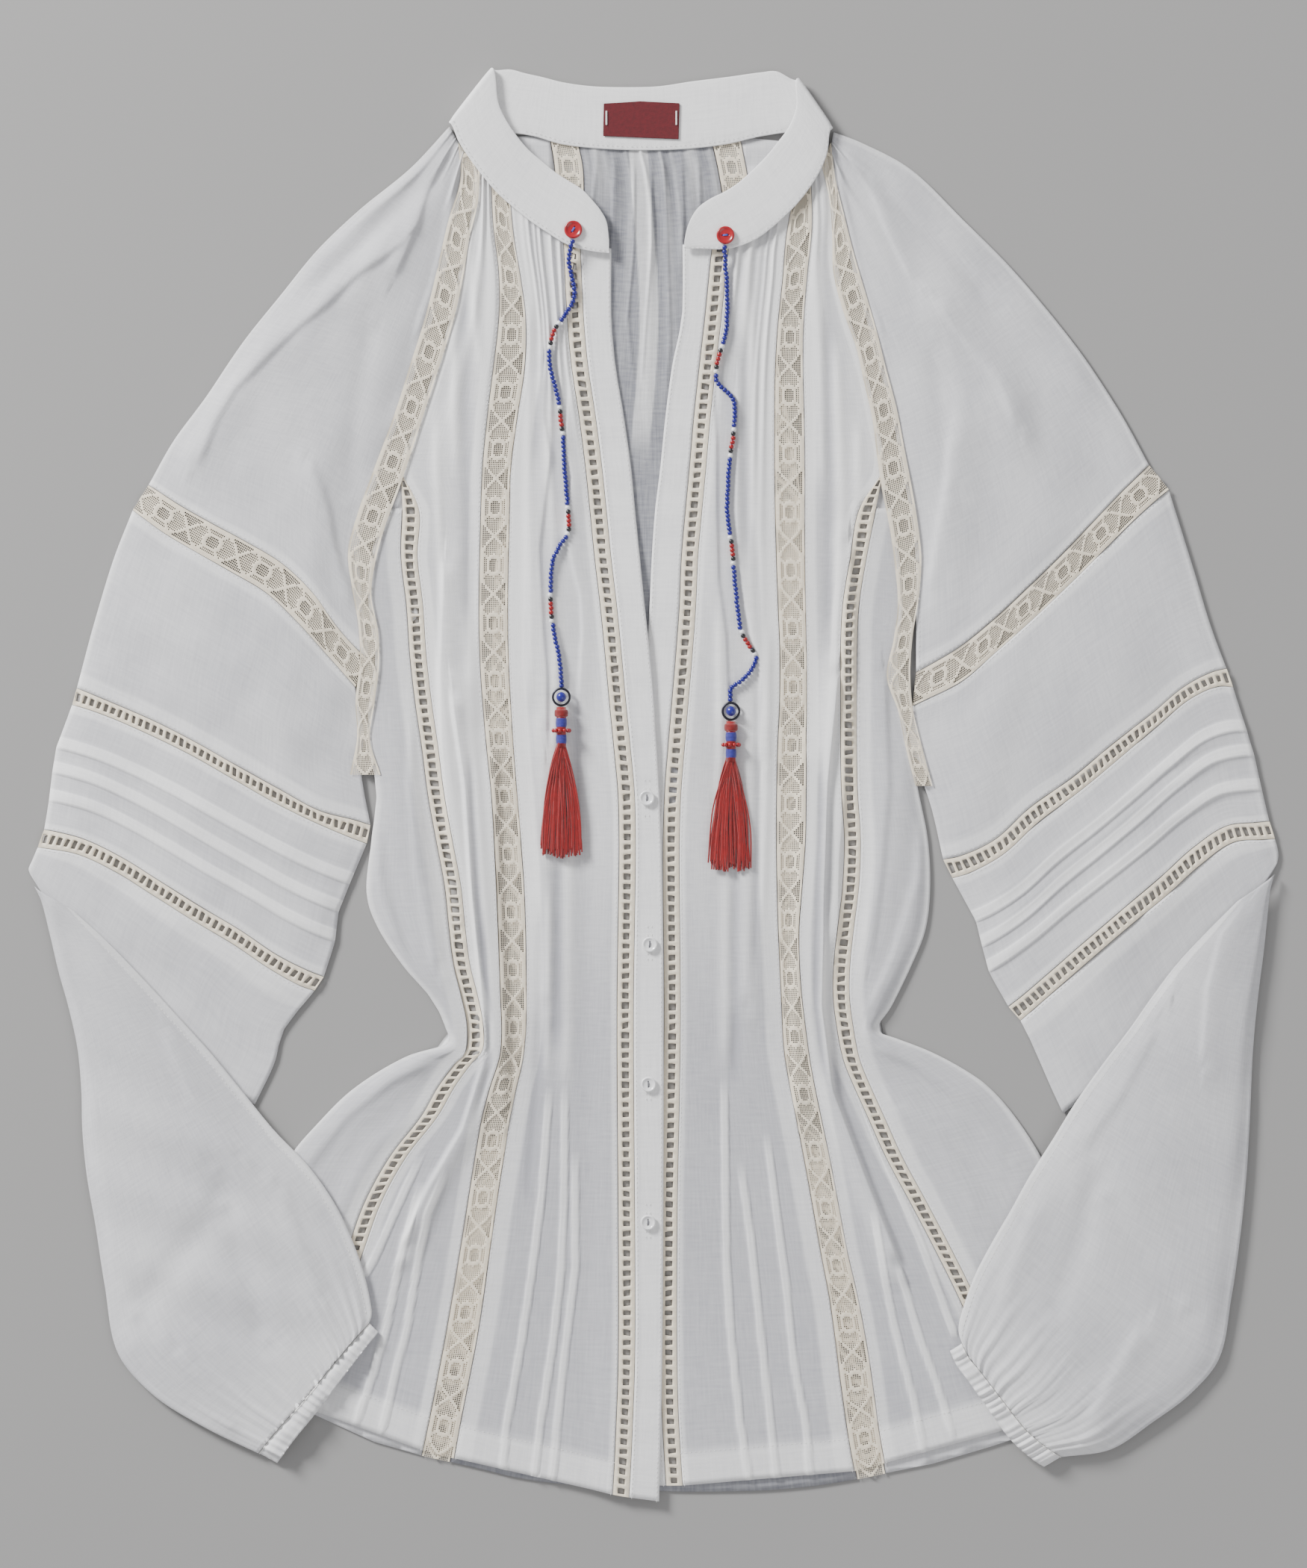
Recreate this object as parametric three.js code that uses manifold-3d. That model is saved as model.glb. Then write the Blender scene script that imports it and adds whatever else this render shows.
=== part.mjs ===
// A white cotton tunic with raglan balloon sleeves, laid flat on a surface, front up.
// Millimetres, +X across the garment, +Y towards the collar, +Z up from the surface.
import * as THREE from 'three';
import { mergeVertices } from 'three/addons/utils/BufferGeometryUtils.js';
import Module from 'manifold-3d';

const wasm = await Module();
wasm.setup();

// Driving dimensions
const CLOTH = 1;              // thickness of one layer of cloth
const GAP = 0.3;              // space between pieces at a seam
const BACK_TOP = CLOTH;       // the back lies on the surface
const FRONT = BACK_TOP + GAP; // underside of the front, which lies on the back
const LADDER = 8.8;           // width of a drawn-thread ladder strip
const LACE_LIFT = 0.8;        // the raglan lace lies on the edges it joins
const HEM = 18;               // depth of the turned-up hem
const HEM_RISE = 0.7;         // what the hem's second layer adds
const UNDER_COLLAR = 3;       // how far panel tops reach below the collar
const TUCK = 3.8;             // width of a stitched tuck
const TUCK_RISE = 0.9;        // height of a stitched tuck
const PLACKET_LIFT = CLOTH + GAP + HEM_RISE; // clears the lower placket and its hem
const EDGE_ROLL = 6;          // how far in from a side fold the cloth reaches full height

const garment = new THREE.Group();

const FABRIC = { color: 0xe4e4e8, roughness: 0.9, metalness: 0 };
const LACE = { color: 0xe8ddc8, roughness: 0.92, metalness: 0 };
const LOOKS = {
  cloth: FABRIC,
  doubled: { color: 0xf0f0f2, roughness: 0.88, metalness: 0 },
  lace: LACE,
  ladder: { color: 0xece4d6, roughness: 0.9, metalness: 0 },
  label: { color: 0x96142a, roughness: 0.6, metalness: 0 },
  pearl: { color: 0xf2f2f0, roughness: 0.25, metalness: 0 },
  redButton: { color: 0xc8232d, roughness: 0.35, metalness: 0 },
  beads: { color: 0x2d28aa, roughness: 0.3, metalness: 0 },
  silk: { color: 0xcd1914, roughness: 0.5, metalness: 0 },
  steel: { color: 0x2b2b2e, roughness: 0.35, metalness: 0.9 },
};

function add(name, look, geometry) {
  const mesh = new THREE.Mesh(geometry, new THREE.MeshStandardMaterial(LOOKS[look]));
  mesh.name = name;
  garment.add(mesh);
  return mesh;
}

// Small tools

const clamp = (value, low, high) => Math.min(high, Math.max(low, value));
const mix = (a, b, t) => a + (b - a) * t;
const ease = (from, to, value) => {
  const t = clamp((value - from) / (to - from), 0, 1);
  return t * t * (3 - 2 * t);
};

// A smooth function through [station, value] rows
function through(rows) {
  const sorted = [...rows].sort((a, b) => a[0] - b[0]);
  const slope = sorted.map((row, i) => {
    const before = sorted[Math.max(i - 1, 0)];
    const after = sorted[Math.min(i + 1, sorted.length - 1)];
    return (after[1] - before[1]) / (after[0] - before[0]);
  });
  return (station) => {
    if (station <= sorted[0][0]) return sorted[0][1];
    const end = sorted.findIndex((row) => row[0] >= station);
    if (end < 0) return sorted[sorted.length - 1][1];
    const [s0, v0] = sorted[end - 1];
    const [s1, v1] = sorted[end];
    const span = s1 - s0;
    const t = (station - s0) / span;
    const turn = t * t * (3 - 2 * t);
    const lead = t * (1 - t) * (1 - t) * slope[end - 1] * span;
    const tail = t * t * (t - 1) * slope[end] * span;
    return mix(v0, v1, turn) + lead + tail;
  };
}

// Points at shares of the length of a smooth curve through [x, y] rows
function crossing(rows, shares) {
  const corners = rows.map(([x, y]) => new THREE.Vector3(x, y, 0));
  const curve = new THREE.CatmullRomCurve3(corners, false, 'centripetal');
  curve.arcLengthDivisions = 400;
  return shares.map((share) => curve.getPointAt(share)).map(({ x, y }) => [x, y]);
}

// Distance from a point to a chain of [x, y] rows
function distanceTo(rows, x, y) {
  let best = Infinity;
  for (let i = 1; i < rows.length; i += 1) {
    const [ax, ay] = rows[i - 1];
    const dx = rows[i][0] - ax;
    const dy = rows[i][1] - ay;
    const t = clamp(((x - ax) * dx + (y - ay) * dy) / (dx * dx + dy * dy), 0, 1);
    best = Math.min(best, Math.hypot(x - ax - t * dx, y - ay - t * dy));
  }
  return best;
}

// Height that a list of soft ridges adds at a point
function swell(ridges, x, y) {
  return ridges.reduce((sum, { height, width, path }) => {
    const reach = distanceTo(path, x, y) / width;
    return sum + height * Math.exp(-reach * reach);
  }, 0);
}

// A closed wall between a fine outer grid and a plainer inner one. outer(i, j) and
// inner(i, j) give [x, y, z]; both grids share their rows and their first and last columns.
function wall({ rows, cols, innerCols, outer, inner }) {
  const points = [];
  const faces = [];
  const put = (point) => points.push(...point) / 3 - 1;
  const grid = (count, at) => Array.from({ length: rows + 1 }, (_, i) => (
    Array.from({ length: count + 1 }, (__, j) => put(at(i, j)))));
  const top = grid(cols, outer);
  const under = grid(innerCols, inner);
  const skin = (cells, flip) => {
    for (let i = 0; i < rows; i += 1) {
      for (let j = 0; j + 1 < cells[i].length; j += 1) {
        const [a, b, c, d] = [cells[i][j], cells[i][j + 1], cells[i + 1][j + 1], cells[i + 1][j]];
        if (flip) faces.push(a, c, b, a, d, c);
        else faces.push(a, b, c, a, c, d);
      }
    }
  };
  // The rim between two chains of points, which takes the shorter diagonal each time
  const span = (a, b) => Math.hypot(...[0, 1, 2].map((k) => points[3 * a + k] - points[3 * b + k]));
  const rim = (upper, lower, flip) => {
    let [i, j] = [0, 0];
    while (i + 1 < upper.length || j + 1 < lower.length) {
      const stepUpper = j + 1 === lower.length
        || (i + 1 < upper.length && span(upper[i + 1], lower[j]) <= span(upper[i], lower[j + 1]));
      const next = stepUpper ? upper[i + 1] : lower[j + 1];
      if (flip) faces.push(upper[i], next, lower[j]);
      else faces.push(upper[i], lower[j], next);
      if (stepUpper) i += 1;
      else j += 1;
    }
  };
  skin(top, false);
  skin(under, true);
  rim(top[0], under[0], false);
  rim(top[rows], under[rows], true);
  rim(top.map((row) => row[0]), under.map((row) => row[0]), true);
  rim(top.map((row) => row[cols]), under.map((row) => row[innerCols]), false);
  return outward(points, faces);
}

// A geometry whose faces point outwards
function outward(points, faces) {
  let volume = 0;
  const at = (k) => new THREE.Vector3(points[3 * k], points[3 * k + 1], points[3 * k + 2]);
  for (let i = 0; i < faces.length; i += 3) {
    volume += at(faces[i]).dot(at(faces[i + 1]).cross(at(faces[i + 2])));
  }
  const order = volume > 0 ? faces : faces.reverse();
  const geometry = new THREE.BufferGeometry();
  geometry.setAttribute('position', new THREE.Float32BufferAttribute(points, 3));
  geometry.setIndex(order);
  geometry.computeVertexNormals();
  return geometry;
}

// Both grids of a wall with one thickness
function sheetOf(rows, cols, at, thickness = CLOTH) {
  return wall({
    rows,
    cols,
    innerCols: cols,
    outer: (i, j) => at(i, j),
    inner: (i, j) => {
      const [x, y, z] = at(i, j);
      return [x, y, Math.max(z - thickness, 0)];
    },
  });
}

// Flat plate with an [x, y] outline between two heights
function plate(outline, low, high) {
  const shape = new THREE.Shape(outline.map(([x, y]) => new THREE.Vector2(x, y)));
  const geometry = new THREE.ExtrudeGeometry(shape, { depth: high - low, bevelEnabled: false });
  geometry.translate(0, 0, low);
  geometry.deleteAttribute('uv');
  geometry.deleteAttribute('normal');
  return mergeVertices(geometry);
}

// Round pieces are turned from [radius, height] rows about the Z axis
function turned(profile, sides) {
  const points = profile.map(([r, z]) => new THREE.Vector2(r, z));
  const geometry = new THREE.LatheGeometry(points, sides).rotateX(Math.PI / 2);
  geometry.deleteAttribute('uv');
  geometry.deleteAttribute('normal');
  const merged = mergeVertices(geometry, 1e-4);
  return outward([...merged.attributes.position.array], dropSlivers([...merged.index.array]));
}

// Faces without the flat ones that meet the axis
function dropSlivers(index) {
  const faces = [];
  for (let i = 0; i < index.length; i += 3) {
    const [a, b, c] = index.slice(i, i + 3);
    if (a !== b && b !== c && c !== a) faces.push(a, b, c);
  }
  return faces;
}

// One solid from several closed geometries
function joined(geometries) {
  const solids = geometries.map((geometry) => {
    const bare = new THREE.BufferGeometry();
    bare.setAttribute('position', geometry.attributes.position);
    bare.setIndex(geometry.index);
    const merged = mergeVertices(bare, 1e-4);
    return new wasm.Manifold(new wasm.Mesh({
      numProp: 3,
      vertProperties: new Float32Array(merged.attributes.position.array),
      triVerts: new Uint32Array(merged.index.array),
    }));
  });
  const { vertProperties, triVerts } = wasm.Manifold.union(solids).getMesh();
  const geometry = new THREE.BufferGeometry();
  geometry.setAttribute('position', new THREE.BufferAttribute(vertProperties, 3));
  geometry.setIndex(new THREE.BufferAttribute(triVerts, 1));
  geometry.computeVertexNormals();
  return geometry;
}

// The body: seams that run from collar to hem, as [y, x] rows. The left is the viewer's.
const SIDES = {
  left: {
    sign: -1,
    collarSeam: [[-109, 354], [-104, 343], [-97, 333], [-90, 324], [-83, 316], [-75, 309], [-65, 301],
      [-55, 294.5], [-48, 290], [-40, 287], [-30, 285], [-15, 284]],
    placketEdge: [[290, -22.5], [240, -22], [205, -17], [180, -13], [150, -10], [120, -7], [95, -4.5],
      [60, -0.7], [20, 2], [-20, 4], [-100, 5.5], [-300, 5], [-390, 3]],
    ladder: [[295, -44], [252, -42], [228, -40], [201, -36], [165, -31.5], [120, -27], [90, -23.5],
      [30, -17.9], [-1, -14.8], [-32, -14], [-124, -15.1], [-300, -14.3], [-360, -16.3], [-390, -18]],
    laceInner: [[322, -77.5], [300, -76], [280, -72.5], [260, -70], [240, -68], [210, -71], [180, -76],
      [150, -77.3], [80, -78.3], [30, -76], [-1, -73.7], [-62, -69.2], [-124, -68.4], [-139, -69.2],
      [-154, -71.4], [-169, -75.3], [-206, -81.4], [-236, -86], [-291, -93.7], [-343, -103.7],
      [-375, -109.5]],
    laceOuter: [[322, -87], [300, -86], [280, -83.5], [260, -82.3], [240, -84], [210, -87.5], [180, -91],
      [150, -92.5], [80, -93.5], [30, -90.6], [-1, -87.2], [-62, -84], [-124, -81.7], [-139, -81.4],
      [-154, -84.5], [-169, -89.8], [-206, -96.7], [-236, -101.3], [-291, -110.5], [-343, -120.5],
      [-375, -127.5]],
    raglanInner: [[345, -96], [330, -93], [310, -94.5], [290, -99.5], [270, -102.5], [250, -107], [230, -113],
      [210, -119.5], [190, -126], [170, -132.5], [150, -139.5], [130, -147], [120, -149], [110, -152],
      [90, -149.5], [70, -145.5], [60, -148], [40, -150], [20, -152], [4, -146]],
    raglanOuter: [[345, -105], [330, -102.5], [310, -108], [290, -113], [270, -117.5], [250, -122.5],
      [230, -129], [210, -135], [190, -142], [170, -149.5], [150, -157], [130, -163], [120, -164],
      [110, -162.5], [90, -159], [70, -157], [50, -160], [30, -158.5], [4, -163]],
    sideLadder: [[180, -134], [160, -130.5], [145, -130.5], [120, -131], [100, -128.5], [60, -125.5],
      [20, -120], [-20, -114.5], [-44, -109], [-70, -106.2], [-100, -102.4], [-116, -98.2], [-130, -95.5],
      [-144, -96.5], [-151, -103], [-159, -109], [-178, -120], [-200, -137], [-221, -149], [-249, -159.5],
      [-275, -169], [-300, -178], [-340, -190]],
    // The side fold that each level of the side ladder is level with: [ladder y, edge x, edge y]
    sideFold: [[168, -136, 168], [150, -142, 150], [130, -149, 130], [110, -154, 110], [90, -152, 90],
      [70, -149, 70], [50, -152, 50], [30, -154, 30], [10, -151, 10], [-10, -148.5, -9], [-30, -151.5, -31],
      [-50, -154, -55], [-70, -151.5, -70], [-90, -140, -90], [-105, -127, -107], [-120, -115, -121],
      [-132, -111.5, -132], [-144, -111.5, -139.5], [-150, -132, -146], [-160, -157, -160.5],
      [-175, -177, -179], [-195, -193, -197], [-215, -203.5, -219], [-235, -209, -246], [-255, -212.5, -268],
      [-275, -214, -290], [-295, -215, -306], [-315, -215, -314], [-333, -215, -324]],
    hem: [[-215, -324], [-200, -331], [-182, -337], [-165, -345], [-145, -352], [-125, -357.5],
      [-100, -363.5], [-80, -369], [-65, -372.5], [-54, -379], [-46, -384.5], [-38, -382], [-28, -380],
      [-16, -382], [5, -384.9]],
    innerTucks: [{ top: 0.6, hem: 0.62 }, { top: 0.5, hem: 0.49 }, { top: 0.36, hem: 0.31 }],
    outerTucks: [{ top: 0.38, hem: 0.44 }, { top: 0.62, hem: 0.6 }, { top: 0.86, hem: 0.84 }],
  },
  right: {
    sign: 1,
    collarSeam: [[95.5, 351], [93.5, 340], [90, 330], [85, 322], [80, 315], [75, 309], [70, 304], [65, 299],
      [60, 295], [55, 292], [45, 288], [38, 286.5], [10, 286.5]],
    placketEdge: [[290, 15.5], [250, 15], [225, 10], [195, 6], [165, 3], [140, 0], [100, -2], [60, -4],
      [0, -5.5], [-100, -6.5], [-390, -7]],
    ladder: [[295, 36.5], [270, 34], [250, 32], [232, 30], [207, 27], [183, 25], [140, 21], [115, 19],
      [88, 18], [60, 15.6], [30, 13.2], [-1, 10.6], [-32, 9.5], [-124, 10.1], [-169, 9.5], [-236, 8.3],
      [-328, 8.6], [-390, 12]],
    laceInner: [[322, 76.5], [300, 72], [280, 70], [260, 68.5], [240, 66], [180, 65], [120, 66], [60, 68],
      [14, 66.5], [-32, 66], [-78, 67], [-108, 68.4], [-139, 69.8], [-154, 71.8], [-206, 81.8], [-249, 89.4],
      [-282, 95.5], [-313, 99.4], [-351, 104.7], [-385, 111]],
    laceOuter: [[322, 84.5], [300, 85], [280, 83], [260, 81.5], [240, 80], [180, 81], [120, 81], [60, 82],
      [14, 81.8], [-32, 81.3], [-78, 78], [-108, 78.9], [-139, 82.5], [-154, 84.8], [-206, 95.5],
      [-249, 103.5], [-282, 110.9], [-313, 116.2], [-351, 121.5], [-385, 128]],
    raglanInner: [[345, 89.5], [330, 90.5], [310, 95], [290, 96], [270, 97], [250, 103], [230, 110],
      [210, 114], [190, 118.5], [170, 120.5], [150, 124], [130, 128], [110, 130], [90, 131], [70, 127],
      [60, 124.5], [50, 129], [30, 133], [10, 137.5], [-3, 141]],
    raglanOuter: [[345, 95], [330, 96.5], [310, 101], [290, 106], [270, 111.5], [250, 118], [230, 122.5],
      [210, 128.5], [190, 132.5], [170, 136.5], [150, 140], [130, 143], [110, 143.5], [90, 140.5],
      [70, 138], [50, 138], [30, 141], [10, 147], [-3, 150]],
    sideLadder: [[180, 121], [162, 118], [148, 115], [127, 111], [105, 107], [85, 105], [47, 104.7],
      [0, 105], [-38, 107], [-58, 105.5], [-78, 103], [-107, 100.5], [-125, 102], [-143, 105], [-153, 108],
      [-171, 116], [-202, 130], [-237, 149], [-257, 159], [-273, 167], [-295, 177], [-318, 186], [-350, 197]],
    sideFold: [[168, 122, 168], [150, 127, 150], [130, 131, 130], [110, 133, 110], [90, 134, 90],
      [70, 131, 70], [50, 132, 50], [30, 136, 30], [10, 139, 10], [-10, 143.5, -10], [-30, 147.3, -30],
      [-50, 148.5, -52], [-70, 147.3, -72], [-90, 142, -90], [-105, 133, -108], [-120, 125, -125],
      [-132, 120.5, -133], [-144, 133, -137.5], [-150, 146, -142.5], [-160, 161, -150], [-175, 177, -160],
      [-195, 194, -179], [-215, 208, -199.5], [-235, 217, -224], [-255, 223, -252], [-275, 226, -280],
      [-295, 228, -305], [-315, 228, -325], [-346, 228, -341]],
    hem: [[10, -376.5], [25, -376.5], [65, -376.4], [90, -373], [109, -368], [125, -364], [150, -358],
      [170, -351.5], [182, -347.5], [200, -345], [228, -341]],
    innerTucks: [{ top: 0.44, hem: 0.375 }, { top: 0.56, hem: 0.54 }, { top: 0.82, hem: 0.73 }],
    outerTucks: [{ top: 0.4, hem: 0.28 }, { top: 0.6, hem: 0.48 }, { top: 0.88, hem: 0.76 }],
  },
};

// Soft ridges of the laid-out front, in the order of the garment's sides
const BODY_FOLDS = {
  left: [
    { height: 3.4, width: 8, path: [[-108, 50], [-101, 0], [-97, -60], [-91, -120], [-91, -150], [-102, -185],
      [-121, -217], [-136, -250]] },
    { height: 2.2, width: 9, path: [[-138, 20], [-132, -40], [-122, -90], [-107, -125]] },
    { height: 2.6, width: 8, path: [[-114, -143], [-140, -160], [-158, -178]] },
    { height: 1.6, width: 7, path: [[-57, 30], [-58, -40], [-57, -120]] },
  ],
  right: [
    { height: 3.2, width: 8, path: [[99, 60], [93, 0], [91, -60], [90, -120], [96, -165], [113, -210],
      [132, -258]] },
    { height: 2.2, width: 9, path: [[134, 10], [128, -50], [120, -95], [113, -125]] },
    { height: 2.8, width: 8, path: [[120, -138], [145, -152], [172, -172]] },
    { height: 1.6, width: 7, path: [[52, 30], [52, -40], [50, -120]] },
  ],
};

// Levels of the body's rows between the gathered top and the hem
const LEVELS = [250, 225, 197, 168, 148, 122, 96, 70, 45, 20, -5, -30, -55, -78, -97, -115, -130, -143, -150,
  -162, -178, -200, -225, -250, -275, -297];
const TOP_ROWS = 3;
const HEM_ROWS = 3;
const BODY_ROWS = TOP_ROWS + LEVELS.length + HEM_ROWS;

// The y of body row i on a seam that runs from top to hem
function rowLevel(i, top, hem) {
  if (i < TOP_ROWS) return mix(top, LEVELS[0], i / TOP_ROWS);
  const below = i - TOP_ROWS - LEVELS.length + 1;
  if (below <= 0) return LEVELS[i - TOP_ROWS];
  const turned = hem + HEM;
  if (below > HEM_ROWS) return hem;
  return mix(LEVELS[LEVELS.length - 1], turned, below / HEM_ROWS);
}

// Seam functions of one side, each as x at a y, with its top and hem
function seamsOf(side) {
  const data = SIDES[side];
  const { sign } = data;
  const lines = Object.fromEntries(['placketEdge', 'ladder', 'laceInner', 'laceOuter', 'raglanInner',
    'raglanOuter', 'sideLadder'].map((key) => [key, through(data[key])]));
  const collarAt = through(data.collarSeam.map(([x, y]) => [x, y]));
  const hemAt = through(data.hem);
  const half = LADDER / 2;
  const at = {
    edge: lines.placketEdge,
    placket: (y) => lines.ladder(y) - sign * half,
    ladder: (y) => lines.ladder(y) + sign * half,
    laceInner: lines.laceInner,
    laceOuter: lines.laceOuter,
    outer: (y) => (y >= 168 ? lines.raglanInner(y) + sign * 2.5 : lines.sideLadder(y) - sign * half),
    sideLadder: (y) => lines.sideLadder(y) + sign * half,
    raglanInner: lines.raglanInner,
    raglanOuter: lines.raglanOuter,
  };
  const topGuess = { edge: 286, placket: 287, ladder: 290, laceInner: 312, laceOuter: 319, outer: 326 };
  const ends = Object.fromEntries(Object.entries(topGuess).map(([key, guess]) => [key, {
    top: collarAt(at[key](guess)) + UNDER_COLLAR,
    hem: hemAt(at[key](-360)),
  }]));
  ends.sideLadder = { top: 168, hem: hemAt(at.sideLadder(-330)) };
  return { at, ends, hemAt, data };
}

const seams = { left: seamsOf('left'), right: seamsOf('right') };

// How far the button band's overlap lifts the left front, at x and y
function overlapLift(side, x, y) {
  if (side === 'right') return 0;
  const near = ease(-38, -18, x);
  return PLACKET_LIFT * near * ease(150, 95, y);
}

// The plain top of the front before tucks and gathers
function frontTop(side, x, y) {
  return FRONT + CLOTH + overlapLift(side, x, y) + swell(BODY_FOLDS[side], x, y);
}

// One strip of the front between two seams. columns is a list of { at, rise } across the
// strip: at is a share of its width at row y, rise is a height there.
function frontStrip(name, look, side, [from, to], columns, innerCols, firstRow = 0) {
  const { at, ends } = seams[side];
  const direction = Math.sign(at[to](0) - at[from](0)) * (GAP / 2);
  const place = (i, share) => {
    const row = i + firstRow;
    const [a, b] = [ends[from], ends[to]];
    const [ya, yb] = [rowLevel(row, a.top, a.hem), rowLevel(row, b.top, b.hem)];
    const y = mix(ya, yb, share);
    const x = mix(at[from](ya) + direction, at[to](yb) - direction, share);
    return [x, y];
  };
  const rows = BODY_ROWS - firstRow;
  const geometry = wall({
    rows,
    cols: columns.length - 1,
    innerCols,
    outer: (i, j) => {
      const { at: share, rise } = columns[j];
      const [, rowY] = place(i, 0.5);
      const [x, y] = place(i, share(rowY));
      const turned = i + firstRow >= BODY_ROWS - 1 ? HEM_RISE : 0;
      return [x, y, frontTop(side, x, y) + rise(rowY) + turned];
    },
    inner: (i, j) => {
      const [x, y] = place(i, j / innerCols);
      return [x, y, frontTop(side, x, y) - CLOTH];
    },
  });
  return add(name, look, geometry);
}

const plain = (share) => ({ at: () => share, rise: () => 0 });

// Three tucks low on a panel turn into soft gathers towards the collar, which lie down
// past the share of the width where lace covers them
function gatheredColumns(tucks, gatherRise, width, underLace = 2) {
  const columns = [{ at: () => 0, rise: () => 0 }];
  [...tucks].sort((a, b) => a.hem - b.hem).forEach(({ top, hem }) => {
    const centre = (y) => mix(top, hem, ease(-100, -370, y));
    const half = (y) => Math.min(TUCK / width(y), 0.1) / 2;
    const stitched = (y) => ease(0, -130, y);
    const gather = (y) => gatherRise * (0.25 + 0.75 * ease(120, 280, y)) * (1 - stitched(y))
      * (1 - 0.9 * ease(underLace - 0.2, underLace, centre(y)));
    columns.push({ at: (y) => centre(y) - half(y), rise: () => 0 });
    columns.push({ at: (y) => centre(y) + half(y) * 0.5, rise: (y) => gather(y) + TUCK_RISE * stitched(y) });
    columns.push({ at: (y) => centre(y) + half(y), rise: () => 0 });
  });
  columns.push({ at: () => 1, rise: () => 0 });
  return columns;
}

function widthBetween(side, a, b) {
  const { at } = seams[side];
  return (y) => Math.abs(at[a](y) - at[b](y));
}

for (const side of ['left', 'right']) {
  const { innerTucks, outerTucks } = SIDES[side];
  frontStrip(`${side}_placket`, 'doubled', side, ['edge', 'placket'], [plain(0), plain(1)], 1);
  frontStrip(`${side}_front_ladder`, 'ladder', side, ['placket', 'ladder'], [plain(0), plain(1)], 1);
  const inner = widthBetween(side, 'ladder', 'laceInner');
  const fromOtherSide = ({ top, hem }) => ({ top: 1 - top, hem: 1 - hem });
  const innerShares = side === 'left' ? innerTucks.map(fromOtherSide) : innerTucks;
  frontStrip(`${side}_inner_front`, 'cloth', side, ['ladder', 'laceInner'],
    gatheredColumns(innerShares, 1.3, inner), 2);
  frontStrip(`${side}_front_lace`, 'lace', side, ['laceInner', 'laceOuter'], [plain(0), plain(1)], 1);
  const outer = widthBetween(side, 'laceOuter', 'outer');
  frontStrip(`${side}_outer_front`, 'cloth', side, ['laceOuter', 'outer'],
    gatheredColumns(outerTucks, 1.1, outer, 0.75), 3);
  frontStrip(`${side}_side_ladder`, 'ladder', side, ['outer', 'sideLadder'], [plain(0), plain(1)], 1,
    TOP_ROWS + LEVELS.indexOf(168));
}

// Side panels: from the side ladder out to the side fold, where the cloth rolls under
const ROLL_FROM = 12; // above this y the side is sewn to the raglan lace, with no fold
for (const side of ['left', 'right']) {
  const { at, ends, data } = seams[side];
  const foldX = through(data.sideFold.map(([level, x]) => [level, x]));
  const foldY = through(data.sideFold.map(([level, , y]) => [level, y]));
  const first = TOP_ROWS + LEVELS.indexOf(148);
  const { top, hem } = ends.sideLadder;
  const place = (i, share) => {
    const level = rowLevel(i + first, top, hem);
    const reach = Math.min(EDGE_ROLL / Math.abs(foldX(level) - at.sideLadder(level)), 0.4);
    const u = share < 0 ? reach : mix(reach, 1, share);
    const spot = share === null ? 0 : u;
    const seam = at.sideLadder(level) + data.sign * (GAP / 2);
    return [mix(foldX(level), seam, spot), mix(foldY(level), level, spot), level];
  };
  const heightAt = (x, y, level, folded) => {
    const full = frontTop(side, x, y);
    return folded ? mix(full, CLOTH, ease(ROLL_FROM, ROLL_FROM - 16, level)) : full;
  };
  const shares = [null, 0, 0.25, 0.5, 0.75, 1];
  const innerShares = [null, 0, 0.5, 1];
  const pointsAt = (list, drop) => (i, j) => {
    const [x, y, level] = place(i, list[j]);
    const turned = !drop && i + first >= BODY_ROWS ? HEM_RISE : 0;
    return [x, y, heightAt(x, y, level, list[j] === null) + turned - drop];
  };
  add(`${side}_side_panel`, 'cloth', wall({
    rows: BODY_ROWS - first,
    cols: shares.length - 1,
    innerCols: innerShares.length - 1,
    outer: pointsAt(shares, 0),
    inner: pointsAt(innerShares, CLOTH),
  }));
}

// Raglan lace, from collar to underarm, over the edges that it joins
const RAGLAN_ROWS = 17;
for (const side of ['left', 'right']) {
  const { at, ends, data } = seams[side];
  const bottom = side === 'left' ? 5 : -1;
  const collarAt = through(data.collarSeam);
  const tops = [at.raglanInner, at.raglanOuter].map((edge) => (
    Math.min(collarAt(edge(336)) + UNDER_COLLAR, 344)));
  add(`${side}_raglan_lace`, 'lace', sheetOf(RAGLAN_ROWS, 1, (i, j) => {
    const y = mix(tops[j], bottom, i / RAGLAN_ROWS);
    const x = [at.raglanInner, at.raglanOuter][j](y);
    return [x, y, frontTop(side, x, y) + LACE_LIFT + CLOTH];
  }));
}

// The back: a centre panel with a centre band, two lace strips and two sides
const BACK = {
  top: through([[-108, 352], [-66, 351], [-40, 345], [0, 343], [40, 346.5], [68, 352], [95, 348]]),
  hem: through([[-215, -325], [-182, -339], [-165, -347.5], [-145, -355], [-125, -360.5], [-100, -366],
    [-65, -374], [0, -379.5], [25, -380], [65, -379], [100, -375], [130, -369], [150, -365], [170, -360],
    [191, -352], [228, -342]]),
  lace: {
    left: through([[352, -49], [325, -45], [300, -47], [250, -56], [150, -75], [0, -80], [-139, -76],
      [-250, -95], [-376, -118]]),
    right: through([[352, 38], [320, 44], [250, 55], [150, 72], [0, 76], [-139, 76], [-250, 95],
      [-376, 118]]),
  },
  laceHalf: 7.5,
  foldGap: 1.5,   // between the back and the front cloth that rolls round its edge
};
const BACK_LEVELS = [331, 316, 300, 280, 255, 225, 190, 150, 110, 70, 0, -70, -139, -200, -250, -310];
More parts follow.
